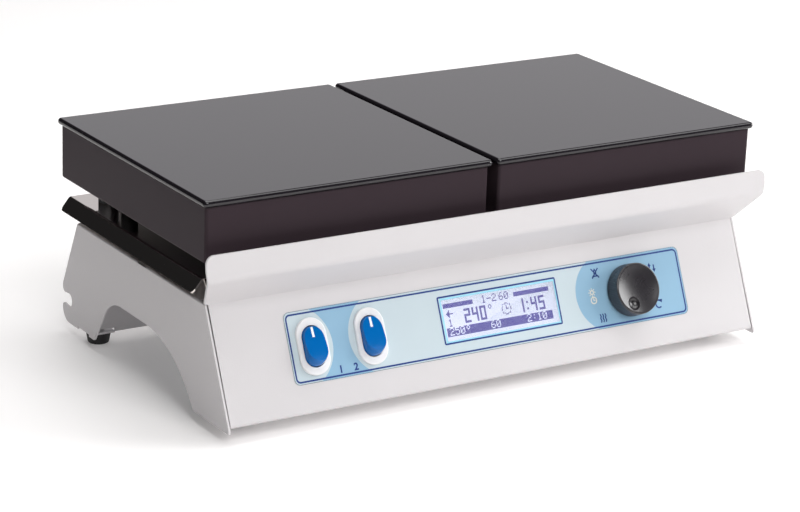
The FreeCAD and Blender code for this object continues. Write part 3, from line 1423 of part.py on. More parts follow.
def main():
    os.makedirs("parts", exist_ok=True)
    nodes = {
        "left_side_plate": left_side_plate(),
        "right_side_plate": right_side_plate(),
        "deck": deck(),
        "rear_panel": rear_panel(),
        "bottom_pan": bottom_pan(),
        "front_panel": front_panel(),
        "heat_shield": heat_shield(),
        "foot_screws": foot_screws(),
        "shield_spacers": sleeves(SPACER_D, DECK_TOP, SHIELD_LIFT),
        "section_posts": sleeves(POST_D, SHIELD_TOP, SECTION_LIFT),
        "section_bolts": section_bolts(),
        "heater_springs": heater_springs(),
        "control_label": control_label(),
        "display_window": display_window(),
        "display_panel": display_panel(),
        "display_frame": display_frame(),
        "display_board": display_board(),
        "display_spacers": display_spacers(),
        "control_board": control_board(),
        "switch_bodies": [switch_body(x) for x in SWITCH_X],
        "switch_terminals": switch_terminals(),
        "encoder_body": encoder_body(),
        "encoder_rotor": encoder_rotor(),
        "encoder_shaft": encoder_shaft(),
        "encoder_nut": encoder_nut(),
        "knob": knob(),
        "mains_inlet": mains_inlet(),
        "inlet_pins": inlet_pins(),
        "fuse_drawer": fuse_drawer(),
        "fuses": fuses(),
        "terminal_screws": relay_screws() + terminal_screws(),
        "power_board": power_board(),
        "board_posts": board_standoffs() + power_board_posts(),
        "transformer": transformer(),
        "capacitors": capacitors(),
        "terminal_block": terminal_block(),
        "mains_leads": mains_leads(),
        "ribbon_cable": ribbon_cable(),
        "earth_stud": earth_stud(),
    }
    for name, (x, y) in foot_places().items():
        nodes[name] = foot(x, y, foot_height(name))
    for (tag, side), x in zip(SECTIONS, SWITCH_X):
        nodes["rocker_" + tag] = rocker(x)
    for tag, side in SECTIONS:
        nodes["glass_" + tag] = glass(side)
        nodes["skirt_" + tag] = skirt(side)
        nodes["base_" + tag] = base(side)
    for name, make in (("seals", seal), ("dishes", dish), ("insulation", insulation),
                       ("heating_ribbons", heating_ribbon), ("limiters", limiter), ("relays", relay),
                       ("lead_bushes", lead_bush), ("heater_leads", heater_leads)):
        nodes[name] = group([make(side) for tag, side in SECTIONS])
    for name, shape in nodes.items():
        save(name, shape)
    print(len(nodes), "nodes")


main()
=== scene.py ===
"""Looks, camera and light for the two-section hot plate."""
import bmesh
import bpy
import json
import math
from mathutils import Matrix, Vector


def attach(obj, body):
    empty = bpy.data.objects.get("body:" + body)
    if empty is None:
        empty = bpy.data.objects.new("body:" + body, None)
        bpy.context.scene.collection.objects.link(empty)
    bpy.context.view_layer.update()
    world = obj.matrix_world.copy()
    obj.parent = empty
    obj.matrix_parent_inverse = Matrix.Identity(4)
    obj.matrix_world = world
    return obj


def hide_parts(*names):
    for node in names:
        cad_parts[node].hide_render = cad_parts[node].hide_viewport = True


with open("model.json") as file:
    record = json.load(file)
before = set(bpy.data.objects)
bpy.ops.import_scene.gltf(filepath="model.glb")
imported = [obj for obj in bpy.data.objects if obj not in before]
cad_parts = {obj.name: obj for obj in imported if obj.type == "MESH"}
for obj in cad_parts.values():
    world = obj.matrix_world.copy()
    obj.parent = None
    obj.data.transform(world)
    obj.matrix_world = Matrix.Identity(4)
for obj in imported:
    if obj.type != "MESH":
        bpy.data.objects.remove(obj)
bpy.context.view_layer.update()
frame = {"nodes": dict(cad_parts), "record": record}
MM = 0.001

# Front panel: its lower bend, its lean, and the things on it in millimetres
PANEL_Y = -103.744
FOOT_H = 7.0
PANEL_LEAN = 24.3
LABEL_X = (-135.2, 134.8)
LABEL_V = (19.4, 60.1)
LABEL_T = 0.25
WINDOW_X = (-34.0, 43.2)
WINDOW_V = (28.4, 52.0)
WINDOW_T = 1.2
SWITCH_X = (-120.5, -83.2)
SWITCH_V = 39.3
ROCKER_W = 12.6
ROCKER_R = 11.3
ROCKER_CREST = 60.0
ROCKER_DISH = 0.75
ROCKER_BELOW = 3.0
ROCKER_TILT = 12.75
PIVOT_H = 0.6
KNOB_X = 94.5
KNOB_V = 39.0
KNOB_R = 15.5
KNOB_FACE_R = 15.2
KNOB_H = 9.8
KNOB_LIFT = 1.0
KNOB_DISH = 1.7
DIMPLE_R = 4.0
DIMPLE_DEPTH = 2.6
DIMPLE_OFFSET = 9.3
DIMPLE_ANGLE = -118.0

PANEL = (Matrix.Translation((0, PANEL_Y * MM, FOOT_H * MM))
         @ Matrix.Rotation(math.radians(90 - PANEL_LEAN), 4, "X") @ Matrix.Scale(MM, 4))


# Materials

def new_material(name):
    material = bpy.data.materials.new(name)
    material.use_nodes = True
    return material, material.node_tree.nodes, material.node_tree.links


def surface(name, color, rough, metallic=0.0, ior=1.5, grain=0.0, grain_scale=900.0, tint=0.04,
            tint_scale=30.0, rough_range=0.05, stretch=(1, 1, 1), transmission=0.0, specular=0.5, glow=0.0):
    """Principled surface whose colour, roughness and relief vary through noise in object space."""
    material, nodes, links = new_material(name)
    shader = nodes["Principled BSDF"]
    shader.inputs["Metallic"].default_value = metallic
    shader.inputs["IOR"].default_value = ior
    shader.inputs["Specular IOR Level"].default_value = specular
    shader.inputs["Transmission Weight"].default_value = transmission
    shader.inputs["Emission Color"].default_value = list(color) + [1]
    shader.inputs["Emission Strength"].default_value = glow
    place = nodes.new("ShaderNodeTexCoord")
    scale = nodes.new("ShaderNodeMapping")
    scale.inputs["Scale"].default_value = stretch
    links.new(place.outputs["Object"], scale.inputs["Vector"])
    cloud = nodes.new("ShaderNodeTexNoise")
    cloud.inputs["Scale"].default_value = tint_scale
    cloud.inputs["Detail"].default_value = 4.0
    links.new(scale.outputs["Vector"], cloud.inputs["Vector"])
    ramp = nodes.new("ShaderNodeMix")
    ramp.data_type = "RGBA"
    ramp.inputs["A"].default_value = [c * (1 - tint) for c in color] + [1]
    ramp.inputs["B"].default_value = [min(1.0, c * (1 + tint)) for c in color] + [1]
    links.new(cloud.outputs["Fac"], ramp.inputs["Factor"])
    links.new(ramp.outputs["Result"], shader.inputs["Base Color"])
    spread = nodes.new("ShaderNodeMapRange")
    spread.inputs["To Min"].default_value = max(0.0, rough - rough_range)
    spread.inputs["To Max"].default_value = min(1.0, rough + rough_range)
    links.new(cloud.outputs["Fac"], spread.inputs["Value"])
    links.new(spread.outputs["Result"], shader.inputs["Roughness"])
    if grain > 0:
        fine = nodes.new("ShaderNodeTexNoise")
        fine.inputs["Scale"].default_value = grain_scale
        fine.inputs["Detail"].default_value = 3.0
        links.new(scale.outputs["Vector"], fine.inputs["Vector"])
        bump = nodes.new("ShaderNodeBump")
        bump.inputs["Strength"].default_value = 1.0
        bump.inputs["Distance"].default_value = grain * MM
        links.new(fine.outputs["Fac"], bump.inputs["Height"])
        links.new(bump.outputs["Normal"], shader.inputs["Normal"])
    return material


FINISHES = {
    "powder_coat": dict(color=(0.645, 0.625, 0.635), rough=0.42, grain=0.035, grain_scale=1300, tint=0.02),
    "dark_enamel": dict(color=(0.04, 0.028, 0.034), rough=0.36, grain=0.006, grain_scale=500, specular=0.05),
    "polished_steel": dict(color=(0.62, 0.58, 0.55), rough=0.05, metallic=1.0, tint=0.03,
                           rough_range=0.03, stretch=(1, 12, 12)),
    "zinc_steel": dict(color=(0.55, 0.56, 0.58), rough=0.34, metallic=1.0, tint=0.1, tint_scale=220,
                       grain=0.02, grain_scale=700, rough_range=0.1),
    "glass_ceramic": dict(color=(0.012, 0.010, 0.013), rough=0.08, ior=1.54, tint=0.2, tint_scale=400,
                          rough_range=0.02),
    "silicone": dict(color=(0.03, 0.03, 0.03), rough=0.6, grain=0.02),
    "black_rubber": dict(color=(0.012, 0.012, 0.013), rough=0.62, grain=0.06, grain_scale=1500, tint=0.25,
                         rough_range=0.12),
    "ceramic_fibre": dict(color=(0.85, 0.82, 0.76), rough=0.95, grain=0.4, grain_scale=400, tint=0.08),
    "heating_alloy": dict(color=(0.25, 0.2, 0.18), rough=0.55, metallic=1.0, tint=0.3, tint_scale=300),
    "steatite": dict(color=(0.8, 0.76, 0.66), rough=0.35, grain=0.03, tint=0.06, tint_scale=200),
    "label_film": dict(color=(0.55, 0.645, 0.69), rough=0.36, grain=0.006, grain_scale=2200, tint=0.015),
    "clear_pane": dict(color=(0.97, 0.98, 1.0), rough=0.0, transmission=1.0, ior=1.12, tint=0.01,
                       rough_range=0.0),
    # The display glass glows by itself: painted light standing in for the lamp light that the clear pane
    # keeps off it.
    "display_glass": dict(color=(0.30, 0.31, 0.37), rough=0.6, tint=0.03, tint_scale=60, glow=2.0),
    "circuit_board": dict(color=(0.03, 0.16, 0.07), rough=0.4, tint=0.2, tint_scale=500, grain=0.02),
    "white_plastic": dict(color=(0.82, 0.82, 0.83), rough=0.3, grain=0.01, grain_scale=1500, tint=0.01),
    "blue_plastic": dict(color=(0.0, 0.125, 0.42), rough=0.16, tint=0.08, tint_scale=120, specular=0.3),
    "knob_plastic": dict(color=(0.016, 0.014, 0.018), rough=0.28, grain=0.008, grain_scale=1800, tint=0.2,
                         specular=0.9),
    "black_plastic": dict(color=(0.015, 0.015, 0.017), rough=0.5, grain=0.05, grain_scale=1100, tint=0.2),
    "grey_plastic": dict(color=(0.25, 0.26, 0.28), rough=0.45, grain=0.03, grain_scale=900, tint=0.06),
    "brass": dict(color=(0.7, 0.5, 0.22), rough=0.28, metallic=1.0, tint=0.1, tint_scale=200,
                  rough_range=0.1),
    "lead_sleeve": dict(color=(0.7, 0.68, 0.62), rough=0.8, grain=0.15, grain_scale=800, tint=0.1),
}
PRINTS = {
    "ink_line": dict(color=(0.008, 0.04, 0.22), rough=0.36, tint=0.05, tint_scale=600),
    "ink_zone": dict(color=(0.27, 0.46, 0.62), rough=0.36, tint=0.015, tint_scale=80),
    "ink_cyan": dict(color=(0.35, 0.72, 0.88), rough=0.3, tint=0.03, tint_scale=200),
    "ink_cream": dict(color=(0.78, 0.75, 0.64), rough=0.4, tint=0.05, tint_scale=600),
    "label_edge_grey": dict(color=(0.16, 0.19, 0.22), rough=0.4, tint=0.05, tint_scale=600),
    # Dark navy for the paddles' bevel faces: painted shade and reflection along the rim of the face.
    "paddle_rim_painted_shade": dict(color=(0.0, 0.02, 0.12), rough=0.3, tint=0.05, tint_scale=600, specular=0.2),
    "ink_white": dict(color=(0.9, 0.9, 0.9), rough=0.4, tint=0.02, tint_scale=600),
    # The display's dots glow by themselves too: painted light that sets their brightness behind the pane.
    "lcd_dot_painted_glow": dict(color=(0.035, 0.028, 0.16), rough=0.6, tint=0.1, tint_scale=900, glow=1.2),
}
LOOKS = {name: surface(name, **values) for name, values in FINISHES.items()}
INKS = {name: surface(name, **values) for name, values in PRINTS.items()}


# Pieces

def mesh_piece(name, verts, faces, material, body, place=PANEL):
    """One mesh in panel coordinates, dressed, and riding on a body."""
    mesh = bpy.data.meshes.new(name)
    mesh.from_pydata([place @ Vector(v) for v in verts], [], faces)
    mesh.materials.append(material)
    mesh.update()
    piece = bpy.data.objects.new(name, mesh)
    bpy.context.collection.objects.link(piece)
    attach(piece, body)
    return piece


class Ink:
    """Flat shapes, mostly print, gathered into one mesh, a little above the label."""

    def __init__(self, height):
        self.height = height
        self.verts = []
        self.faces = []

    def fill(self, points):
        start = len(self.verts)
        self.verts += [(x, v, self.height) for x, v in points]
        self.faces.append(list(range(start, start + len(points))))

    def bar(self, x0, x1, v0, v1):
        self.fill([(x0, v0), (x1, v0), (x1, v1), (x0, v1)])

    def stroke(self, points, width, closed=False):
        """A line of even width, with mitred corners."""
        path = [Vector(p) for p in points]
        count = len(path)
        sides = []
        for i, point in enumerate(path):
            before = path[i - 1] if closed or i > 0 else None
            after = path[(i + 1) % count] if closed or i < count - 1 else None
            runs = []
            if before is not None:
                runs.append((point - before).normalized())
            if after is not None:
                runs.append((after - point).normalized())
            normals = [Vector((-r.y, r.x)) for r in runs]
            total = sum(normals, Vector((0, 0)))
            offset = total / total.length_squared * len(normals) if total.length > 1e-6 else normals[0]
            offset = offset * (width / 2)
            sides.append((point + offset, point - offset))
        last = count if closed else count - 1
        for i in range(last):
            a, b = sides[i], sides[(i + 1) % count]
            self.fill([a[0], b[0], b[1], a[1]])

    def ring(self, x, v, radius, width, start=0.0, sweep=360.0, count=48):
        angles = [math.radians(start + sweep * i / count) for i in range(count + 1)]
        points = [(x + radius * math.cos(a), v + radius * math.sin(a)) for a in angles]
        if sweep >= 360.0:
            self.stroke(points[:-1], width, closed=True)
        else:
            self.stroke(points, width)

    def piece(self, name, material, slot, body="base"):
        return mesh_piece(name, self.verts, self.faces, material, body)


def rounded_box(x0, x1, v0, v1, radius, steps=6):
    points = []
    for cx, cv, start in ((x1 - radius, v0 + radius, -90), (x1 - radius, v1 - radius, 0),
                          (x0 + radius, v1 - radius, 90), (x0 + radius, v0 + radius, 180)):
        for i in range(steps + 1):
            angle = math.radians(start + 90 * i / steps)
            points.append((cx + radius * math.cos(angle), cv + radius * math.sin(angle)))
    return points


def arc_x(arc, v, side):
    """Where the left (-1) or right (1) side of a zone's arc crosses a height v."""
    x, middle, radius = arc
    return x + side * math.sqrt(max(radius ** 2 - (v - middle) ** 2, 0))


PRINT_H = LABEL_T + 0.02
PRINT_STEP = 0.02
LINE_W = 0.95
LABEL_END_R = 3.5
# Round edges of the coloured zones: centre and radius
SWITCH_A_ARC = (-131.4, 39.6, 23.9)
SWITCH_B_ARC = (-73.4, 40.0, 23.5)
KNOB_ARC = (80.0, 40.0, 22.8)

v0, v1 = LABEL_V
steps = [v0 + (v1 - v0) * i / 24 for i in range(25)]

zones = Ink(PRINT_H)
left_edge = [(arc_x(SWITCH_A_ARC, v, 1), v) for v in steps]
right_edge = [(arc_x(SWITCH_B_ARC, v, -1), v) for v in steps]
for i in range(24):
    zones.fill([left_edge[i], right_edge[i], right_edge[i + 1], left_edge[i + 1]])
knob_edge = [(arc_x(KNOB_ARC, v, -1), v) for v in steps]
for i in range(24):
    a, b = steps[i], steps[i + 1]
    ends = []
    for v in (a, b):
        dip = max(LABEL_END_R - min(v - v0, v1 - v), 0)
        ends.append(LABEL_X[1] - LABEL_END_R + math.sqrt(max(LABEL_END_R ** 2 - dip ** 2, 0)))
    zones.fill([knob_edge[i], (ends[0], a), (ends[1], b), knob_edge[i + 1]])
zones.piece("label_zones", INKS["ink_zone"], "label_film")

lines = Ink(PRINT_H + PRINT_STEP)
lines.stroke(rounded_box(-133.8, 133.2, 20.9, 58.3, 2.4), LINE_W, closed=True)
lines.stroke(rounded_box(-36.0, 44.4, 27.1, 53.8, 0.5), LINE_W, closed=True)

# Sound-off sign, up and down arrows, turn-back arrow and heater bars round the knob
lines.stroke([(70.8, 49.4), (75.8, 55.2)], 0.75)
lines.stroke([(70.8, 55.2), (75.8, 49.4)], 0.75)
bell = [(71.6, 50.6), (72.6, 51.4), (72.7, 53.6), (73.3, 54.6), (73.9, 53.6), (74.0, 51.4), (75.0, 50.6)]
lines.stroke(bell, 0.75, closed=True)
for i in range(3):
    x = 71.5 + i * 1.7
    lines.stroke([(x, 23.2), (x + 0.5, 24.3), (x, 25.6), (x + 0.5, 27.0), (x, 28.2)], 0.8)
lines.stroke([(112.5, 48.4), (112.5, 51.6)], 0.9)
lines.fill([(111.2, 50.9), (113.8, 50.9), (112.5, 52.9)])
lines.stroke([(115.6, 48.4), (115.6, 51.6)], 0.9)
lines.fill([(114.3, 49.1), (116.9, 49.1), (115.6, 47.1)])
lines.ring(114.4, 28.0, 2.2, 0.9, start=40, sweep=270, count=20)
lines.fill([(114.8, 30.6), (117.4, 30.6), (116.5, 28.4)])
lines.piece("label_lines", INKS["ink_line"], "label_film")

# Thin dark grey line drawn just inside the label's edge.
rim = Ink(PRINT_H)
edge_box = rounded_box(LABEL_X[0] + 0.2, LABEL_X[1] - 0.2, LABEL_V[0] + 0.2, LABEL_V[1] - 0.2, 3.3)
rim.stroke(edge_box, 0.3, closed=True)
rim.piece("label_rim", INKS["label_edge_grey"], "label_film")

frame_ink = Ink(PRINT_H + PRINT_STEP / 2)
band_box = rounded_box(WINDOW_X[0] - 0.6, WINDOW_X[1] + 0.6, WINDOW_V[0] - 0.6, WINDOW_V[1] + 0.6, 0.3)
frame_ink.stroke(band_box, 1.1, closed=True)
frame_ink.piece("label_window_band", INKS["ink_cyan"], "label_film")

cream = Ink(PRINT_H + PRINT_STEP)
cream.ring(69.1, 36.8, 1.9, 0.65)
cream.stroke([(69.1, 38.2), (69.1, 36.8), (70.2, 36.8)], 0.55)
cream.ring(68.7, 41.5, 1.1, 0.65)
for i in range(8):
    angle = math.radians(45 * i)
    c, s = math.cos(angle), math.sin(angle)
    cream.stroke([(68.7 + 1.7 * c, 41.5 + 1.7 * s), (68.7 + 2.5 * c, 41.5 + 2.5 * s)], 0.5)
cream.piece("label_cream_signs", INKS["ink_cream"], "label_film")


def numeral(text, x, v, height, name):
    """A printed numeral, cut from Blender's own font."""
    curve = bpy.data.curves.new(name + "_shape", "FONT")
    curve.body = text
    curve.size = height / 0.7
    curve.align_x = "CENTER"
    curve.offset = 0.2
    holder = bpy.data.objects.new(name + "_shape", curve)
    bpy.context.collection.objects.link(holder)
    bpy.context.view_layer.update()
    mesh = bpy.data.meshes.new_from_object(holder)
    verts = [(p.co.x + x, p.co.y + v, PRINT_H + PRINT_STEP) for p in mesh.vertices]
    faces = [list(p.vertices) for p in mesh.polygons]
    bpy.data.objects.remove(holder)
    return mesh_piece(name, verts, faces, INKS["ink_line"], "base")


numeral("1", -105.3, 22.3, 4.0, "label_numeral_1")
numeral("2", -95.6, 22.3, 4.0, "label_numeral_2")


# Display: dots on the display glass, behind the pane. Each letter is seven rows of five dots.

SMALL = {
    "0": "01110 10001 10011 10101 11001 10001 01110",
    "1": "00100 01100 00100 00100 00100 00100 01110",
    "2": "01110 10001 00001 00110 01000 10000 11111",
    "3": "11110 00001 00001 01110 00001 00001 11110",
    "4": "00010 00110 01010 10010 11111 00010 00010",
    "5": "11111 10000 11110 00001 00001 10001 01110",
    "6": "00110 01000 10000 11110 10001 10001 01110",
    "8": "01110 10001 10001 01110 10001 10001 01110",
    ":": "00000 00100 00000 00000 00100 00000 00000",
    "-": "00000 00000 00000 11111 00000 00000 00000",
    "o": "01100 10010 10010 01100 00000 00000 00000",
}
SEGMENTS = {"0": "abcdef", "1": "bc", "2": "abged", "4": "fgbc", "5": "afgcd", "8": "abcdefg", "6": "afgedc"}
BARS = {"a": (0, 0, 7, 2), "b": (5, 0, 7, 7), "c": (5, 6, 7, 13), "d": (0, 11, 7, 13), "e": (0, 6, 2, 13),
        "f": (0, 0, 2, 7), "g": (0, 5, 7, 7)}


def display_dots():
    """Which of the 122 by 32 dots are dark; columns from the left, rows from the top."""
    dots = set()

    def block(c0, r0, c1, r1):
        dots.update((c, r) for c in range(c0, c1) for r in range(r0, r1))

    def small(text, c, r, clear=False):
        for letter in text:
            for j, row in enumerate(SMALL[letter].split()):
                for i, bit in enumerate(row):
                    if bit == "1":
                        (dots.discard if clear else dots.add)((c + i, r + j))
            c += 6

    def large(text, c, r):
        for letter in text:
            for segment in SEGMENTS[letter]:
                x0, y0, x1, y1 = BARS[segment]
                block(c + x0, r + y0, c + x1, r + y1)
            c += 9

    block(0, 2, 34, 6)
    block(81, 2, 122, 6)
    small("1-2", 44, 0)
    small("60", 64, 0)
    large("240", 22, 9)
    small("o", 50, 9)
    for i in range(24):
        angle = 2 * math.pi * i / 24
        dots.add((round(70 + 5 * math.cos(angle)), round(15 + 5 * math.sin(angle))))
    block(70, 12, 71, 16)
    block(70, 15, 73, 16)
    large("1", 84, 9)
    block(94, 12, 96, 14)
    block(94, 18, 96, 20)
    large("45", 99, 9)
    for i in range(4):
        block(2 + i, 11 - i, 3 + i, 12 + i)
    block(6, 11, 10, 12)
    small("1", 3, 16)
    block(0, 24, 122, 32)
    small("250", 3, 24, clear=True)
    small("o", 22, 24, clear=True)
    small("60", 50, 24, clear=True)
    small("2:10", 92, 24, clear=True)
    return dots


LCD_H = -WINDOW_T + 0.03
screen_x = (-32.6, 40.0)
screen_v = (30.8, 51.0)
pitch_x = (screen_x[1] - screen_x[0]) / 122
pitch_v = (screen_v[1] - screen_v[0]) / 32
screen = Ink(LCD_H)
for column, row in sorted(display_dots()):
    x = screen_x[0] + column * pitch_x
    v = screen_v[1] - (row + 1) * pitch_v
    screen.bar(x, x + 0.93 * pitch_x, v, v + 0.93 * pitch_v)
screen.piece("display_dots", INKS["lcd_dot_painted_glow"], "display_glass")


# Rocker paddles

def rocker_face(v):
    """Height of the dished face above the pivot."""
    crest = math.radians(ROCKER_CREST)
    return ROCKER_R * math.cos(crest) - ROCKER_DISH * (1 - (v / (ROCKER_R * math.sin(crest))) ** 2)


def rocker_slice(at, along=36, down=10):
    """Outline of the barrel-shaped paddle at one x: the face, then the round ends down to its floor."""
    half = ROCKER_W / 2
    reach = min(ROCKER_R, ROCKER_R + 0.05 - half + math.sqrt(max(half ** 2 - at ** 2, 0)))
    near, far = 0.0, ROCKER_R * math.sin(math.radians(ROCKER_CREST))
    for _ in range(40):
        middle = (near + far) / 2
        if math.hypot(middle, rocker_face(middle)) < reach:
            near = middle
        else:
            far = middle
    spread = [near * (-1 + 2 * i / along) for i in range(along + 1)]
    face = [(v, rocker_face(v)) for v in spread]
    start = math.atan2(rocker_face(near), near)
    stop = -math.asin(ROCKER_BELOW / reach)
    side = []
    for i in range(1, down + 1):
        angle = start + (stop - start) * i / down
        side.append((reach * math.cos(angle), reach * math.sin(angle)))
    return face + side + [(-v, h) for v, h in reversed(side)]


def rocker(name, node, body, x):
    """Barrel-shaped paddle with a softly rounded edge and a dished face; the rounded edge is coloured dark
    navy as painted shade.
    """
    across = 22
    bm = bmesh.new()
    slices = []
    for k in range(across + 1):
        at = ROCKER_W / 2 * math.sin(math.pi * (k / across - 0.5))
        slices.append([bm.verts.new((at, v, h)) for v, h in rocker_slice(at)])
    for a, b in zip(slices, slices[1:]):
        for i in range(len(a)):
            j = (i + 1) % len(a)
            bm.faces.new((a[i], a[j], b[j], b[i]))
    bm.faces.new(slices[0])
    bm.faces.new(slices[-1])
    bmesh.ops.recalc_face_normals(bm, faces=bm.faces)
    mesh = bpy.data.meshes.new(name)
    bm.to_mesh(mesh)
    bm.free()
    tilt = Matrix.Rotation(-math.radians(ROCKER_TILT), 4, "X")
    mesh.transform(PANEL @ Matrix.Translation((x, SWITCH_V, PIVOT_H)) @ tilt)
    mesh.materials.append(LOOKS["blue_plastic"])
    mesh.materials.append(INKS["paddle_rim_painted_shade"])
    piece = bpy.data.objects.new(name, mesh)
    bpy.context.collection.objects.link(piece)
    edge = piece.modifiers.new("edge", "BEVEL")
    edge.width = 0.35 * MM
    edge.segments = 3
    # The bevel faces take the second, dark colour: painted shade along the rim of the face.
    edge.material = 1
    edge.limit_method = "ANGLE"
    edge.angle_limit = math.radians(28)
    for polygon in mesh.polygons:
        polygon.use_smooth = True
    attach(piece, body)
    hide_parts(node)
    return piece


def rocker_mark(name, body, x):
    """White line printed along the upper half of a paddle's face."""
    crest = ROCKER_R * math.sin(math.radians(ROCKER_CREST))
    verts, faces = [], []
    for i in range(9):
        t = 0.40 + 0.57 * i / 8
        h = ROCKER_R * math.cos(math.radians(ROCKER_CREST)) - ROCKER_DISH * (1 - t * t) + 0.03
        verts += [(-1.1, t * crest, h), (0.3, t * crest, h)]
    for i in range(8):
        faces.append((2 * i, 2 * i + 1, 2 * i + 3, 2 * i + 2))
    tilt = Matrix.Rotation(-math.radians(ROCKER_TILT), 4, "X")
    place = PANEL @ Matrix.Translation((x, SWITCH_V, PIVOT_H)) @ tilt
    return mesh_piece(name, verts, faces, INKS["ink_white"], body, place)


for tag, x in zip(("a", "b"), SWITCH_X):
    rocker("paddle_" + tag, "rocker_" + tag, "rocker_" + tag, x)
    rocker_mark("paddle_mark_" + tag, "rocker_" + tag, x)


# Knob

def knob_piece():
    """Ribbed side, rounded shoulder, dished face and a finger dimple."""
    ribs = 90
    around = ribs * 4
    low, high = KNOB_LIFT, KNOB_LIFT + KNOB_H
    angle = math.radians(DIMPLE_ANGLE)
    dimple = Vector((DIMPLE_OFFSET * math.cos(angle), DIMPLE_OFFSET * math.sin(angle)))

    def face_h(x, v):
        r = math.hypot(x, v)
        h = high - KNOB_DISH * max(0.0, 1 - (r / (KNOB_FACE_R - 1.2)) ** 2)
        d = (Vector((x, v)) - dimple).length
        if d < DIMPLE_R:
            h -= DIMPLE_DEPTH * math.sqrt(1 - (d / DIMPLE_R) ** 2)
        return h

    rings = []
    inner = 11.5
    profile = [(inner, low + 4.2, 0), (inner, low, 0), (KNOB_R - 0.5, low, 0), (KNOB_R, low + 0.5, 0.0),
               (KNOB_R, low + 1.0, 1.0), (KNOB_FACE_R + 0.05, high - 1.0, 1.0),
               (KNOB_FACE_R, high - 0.55, 0.0), (KNOB_FACE_R - 0.15, high - 0.2, 0),
               (KNOB_FACE_R - 0.45, high - 0.03, 0)]
    bm = bmesh.new()
    for radius, h, ribbed in profile:
        ring = []
        for i in range(around):
            a = 2 * math.pi * i / around
            r = radius - 0.22 * ribbed * (0.5 + 0.5 * math.cos(ribs * a))
            ring.append(bm.verts.new((r * math.cos(a), r * math.sin(a), h)))
        rings.append(ring)
    for k in range(1, 57):
        radius = (KNOB_FACE_R - 0.8) * (1 - k / 57)
        if k == 1:
            radius = KNOB_FACE_R - 0.8
        ring = []
        for i in range(around):
            a = 2 * math.pi * i / around
            x, v = radius * math.cos(a), radius * math.sin(a)
            ring.append(bm.verts.new((x, v, face_h(x, v))))
        rings.append(ring)
    for a, b in zip(rings, rings[1:]):
        for i in range(around):
            j = (i + 1) % around
            bm.faces.new((a[i], a[j], b[j], b[i]))
    bm.faces.new(rings[-1])
    bm.faces.new(rings[0])
    bmesh.ops.recalc_face_normals(bm, faces=bm.faces)
    mesh = bpy.data.meshes.new("knob_turned")
    bm.to_mesh(mesh)
    bm.free()
    mesh.transform(PANEL @ Matrix.Translation((KNOB_X, KNOB_V, 0)))
    mesh.materials.append(LOOKS["knob_plastic"])
    for polygon in mesh.polygons:
        polygon.use_smooth = True
    piece = bpy.data.objects.new("knob_turned", mesh)
    bpy.context.collection.objects.link(piece)
    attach(piece, "knob")
    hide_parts("knob")
    return piece


knob_piece()


# CAD nodes keep their shapes and get their finishes
slots = {part["node"]: part["material_slot"] for part in frame["record"]["subparts"]}
for name, node in frame["nodes"].items():
    for slot in node.material_slots:
        slot.material = LOOKS[slots[name]]


# Floor, light and camera

def stage_plane(name, size, location, rotation, material):
    half = size / 2
    mesh = bpy.data.meshes.new(name)
    corners = [(-half, -half, 0), (half, -half, 0), (half, half, 0), (-half, half, 0)]
    mesh.from_pydata(corners, [], [(0, 1, 2, 3)])
    mesh.materials.append(material)
    plane = bpy.data.objects.new(name, mesh)
    plane.location = location
    plane.rotation_euler = rotation
    bpy.context.collection.objects.link(plane)
    return plane


floor_paint = surface("floor", (0.90, 0.885, 0.88), 0.8, tint=0.003, glow=0.2)
stage_plane("floor", 14.0, (0, 0, 0), (0, 0, 0), floor_paint)


def lamp(name, size, location, target, power, color=(1, 1, 1)):
    light = bpy.data.lights.new(name, "AREA")
    light.shape = "RECTANGLE"
    light.size, light.size_y = size
    light.energy = power
    light.color = color
    holder = bpy.data.objects.new(name, light)
    holder.location = location
    aim = Vector(target) - Vector(location)
    holder.rotation_euler = aim.to_track_quat("-Z", "Y").to_euler()
    bpy.context.collection.objects.link(holder)
    return holder


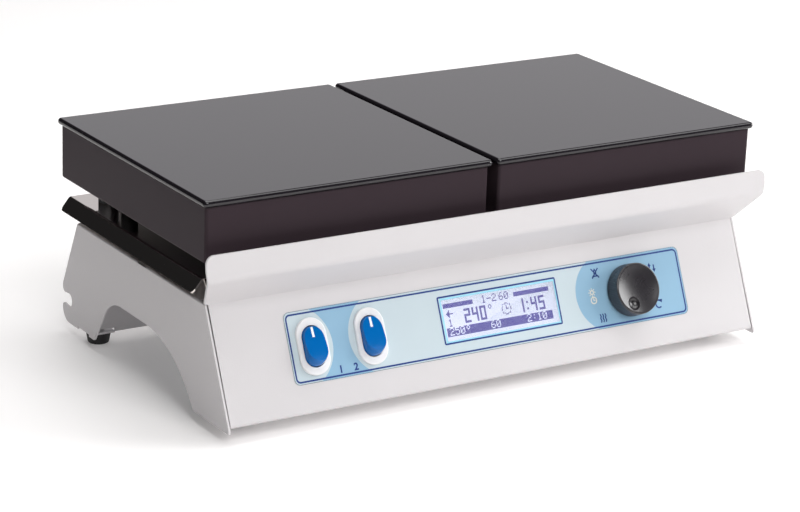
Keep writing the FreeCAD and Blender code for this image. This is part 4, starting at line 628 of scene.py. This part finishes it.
lamp("softbox_top", (1.0, 1.0), (0.9, -0.25, 1.6), (0, 0, 0), 9)
lamp("softbox_back", (1.4, 1.6), (0.1, 0.4, 2.1), (0, 0, 0), 27)
lamp("softbox_front", (1.4, 1.2), (-0.2, -1.7, 1.6), (0, 0, 0.05), 26)
lamp("softbox_right", (1.0, 1.2), (2.0, -0.88, 0.85), (0, 0, 0.05), 28)


def studio(base, glow, toward, inner, outer):
    """Dim room with one bright wall, which the glass plates mirror."""
    world = bpy.data.worlds.new("studio")
    world.use_nodes = True
    nodes, links = world.node_tree.nodes, world.node_tree.links
    place = nodes.new("ShaderNodeTexCoord")
    along = nodes.new("ShaderNodeVectorMath")
    along.operation = "DOT_PRODUCT"
    along.inputs[1].default_value = Vector(toward).normalized()
    links.new(place.outputs["Generated"], along.inputs[0])
    wall = nodes.new("ShaderNodeMapRange")
    wall.interpolation_type = "SMOOTHSTEP"
    wall.inputs["From Min"].default_value = math.cos(math.radians(outer))
    wall.inputs["From Max"].default_value = math.cos(math.radians(inner))
    wall.inputs["To Min"].default_value = base
    wall.inputs["To Max"].default_value = glow
    links.new(along.outputs["Value"], wall.inputs["Value"])
    links.new(wall.outputs["Result"], nodes["Background"].inputs["Strength"])
    nodes["Background"].inputs["Color"].default_value = (0.99, 0.97, 1.0, 1)
    bpy.context.scene.world = world


studio(0.02, 0.78, (0.53, 0.79, 0.25), 19, 25)

AZIMUTH, ELEVATION, ROLL = -0.5690, 0.3220, 0.0380
LENS = 124.75
CAMERA_AT = (-0.85036, -1.31473, 0.57322)
back = Vector((math.sin(AZIMUTH) * math.cos(ELEVATION), -math.cos(AZIMUTH) * math.cos(ELEVATION),
               math.sin(ELEVATION)))
level = (-back).cross(Vector((0, 0, 1))).normalized()
up = level.cross(-back)
right = math.cos(ROLL) * level + math.sin(ROLL) * up
top = -math.sin(ROLL) * level + math.cos(ROLL) * up
lens = bpy.data.cameras.new("camera")
lens.lens = LENS
lens.sensor_width = 36.0
lens.sensor_fit = "HORIZONTAL"
camera = bpy.data.objects.new("camera", lens)
camera.matrix_world = Matrix.Translation(CAMERA_AT) @ Matrix((right, top, back)).transposed().to_4x4()
bpy.context.collection.objects.link(camera)
bpy.context.scene.camera = camera
bpy.context.scene.view_settings.view_transform = "Standard"
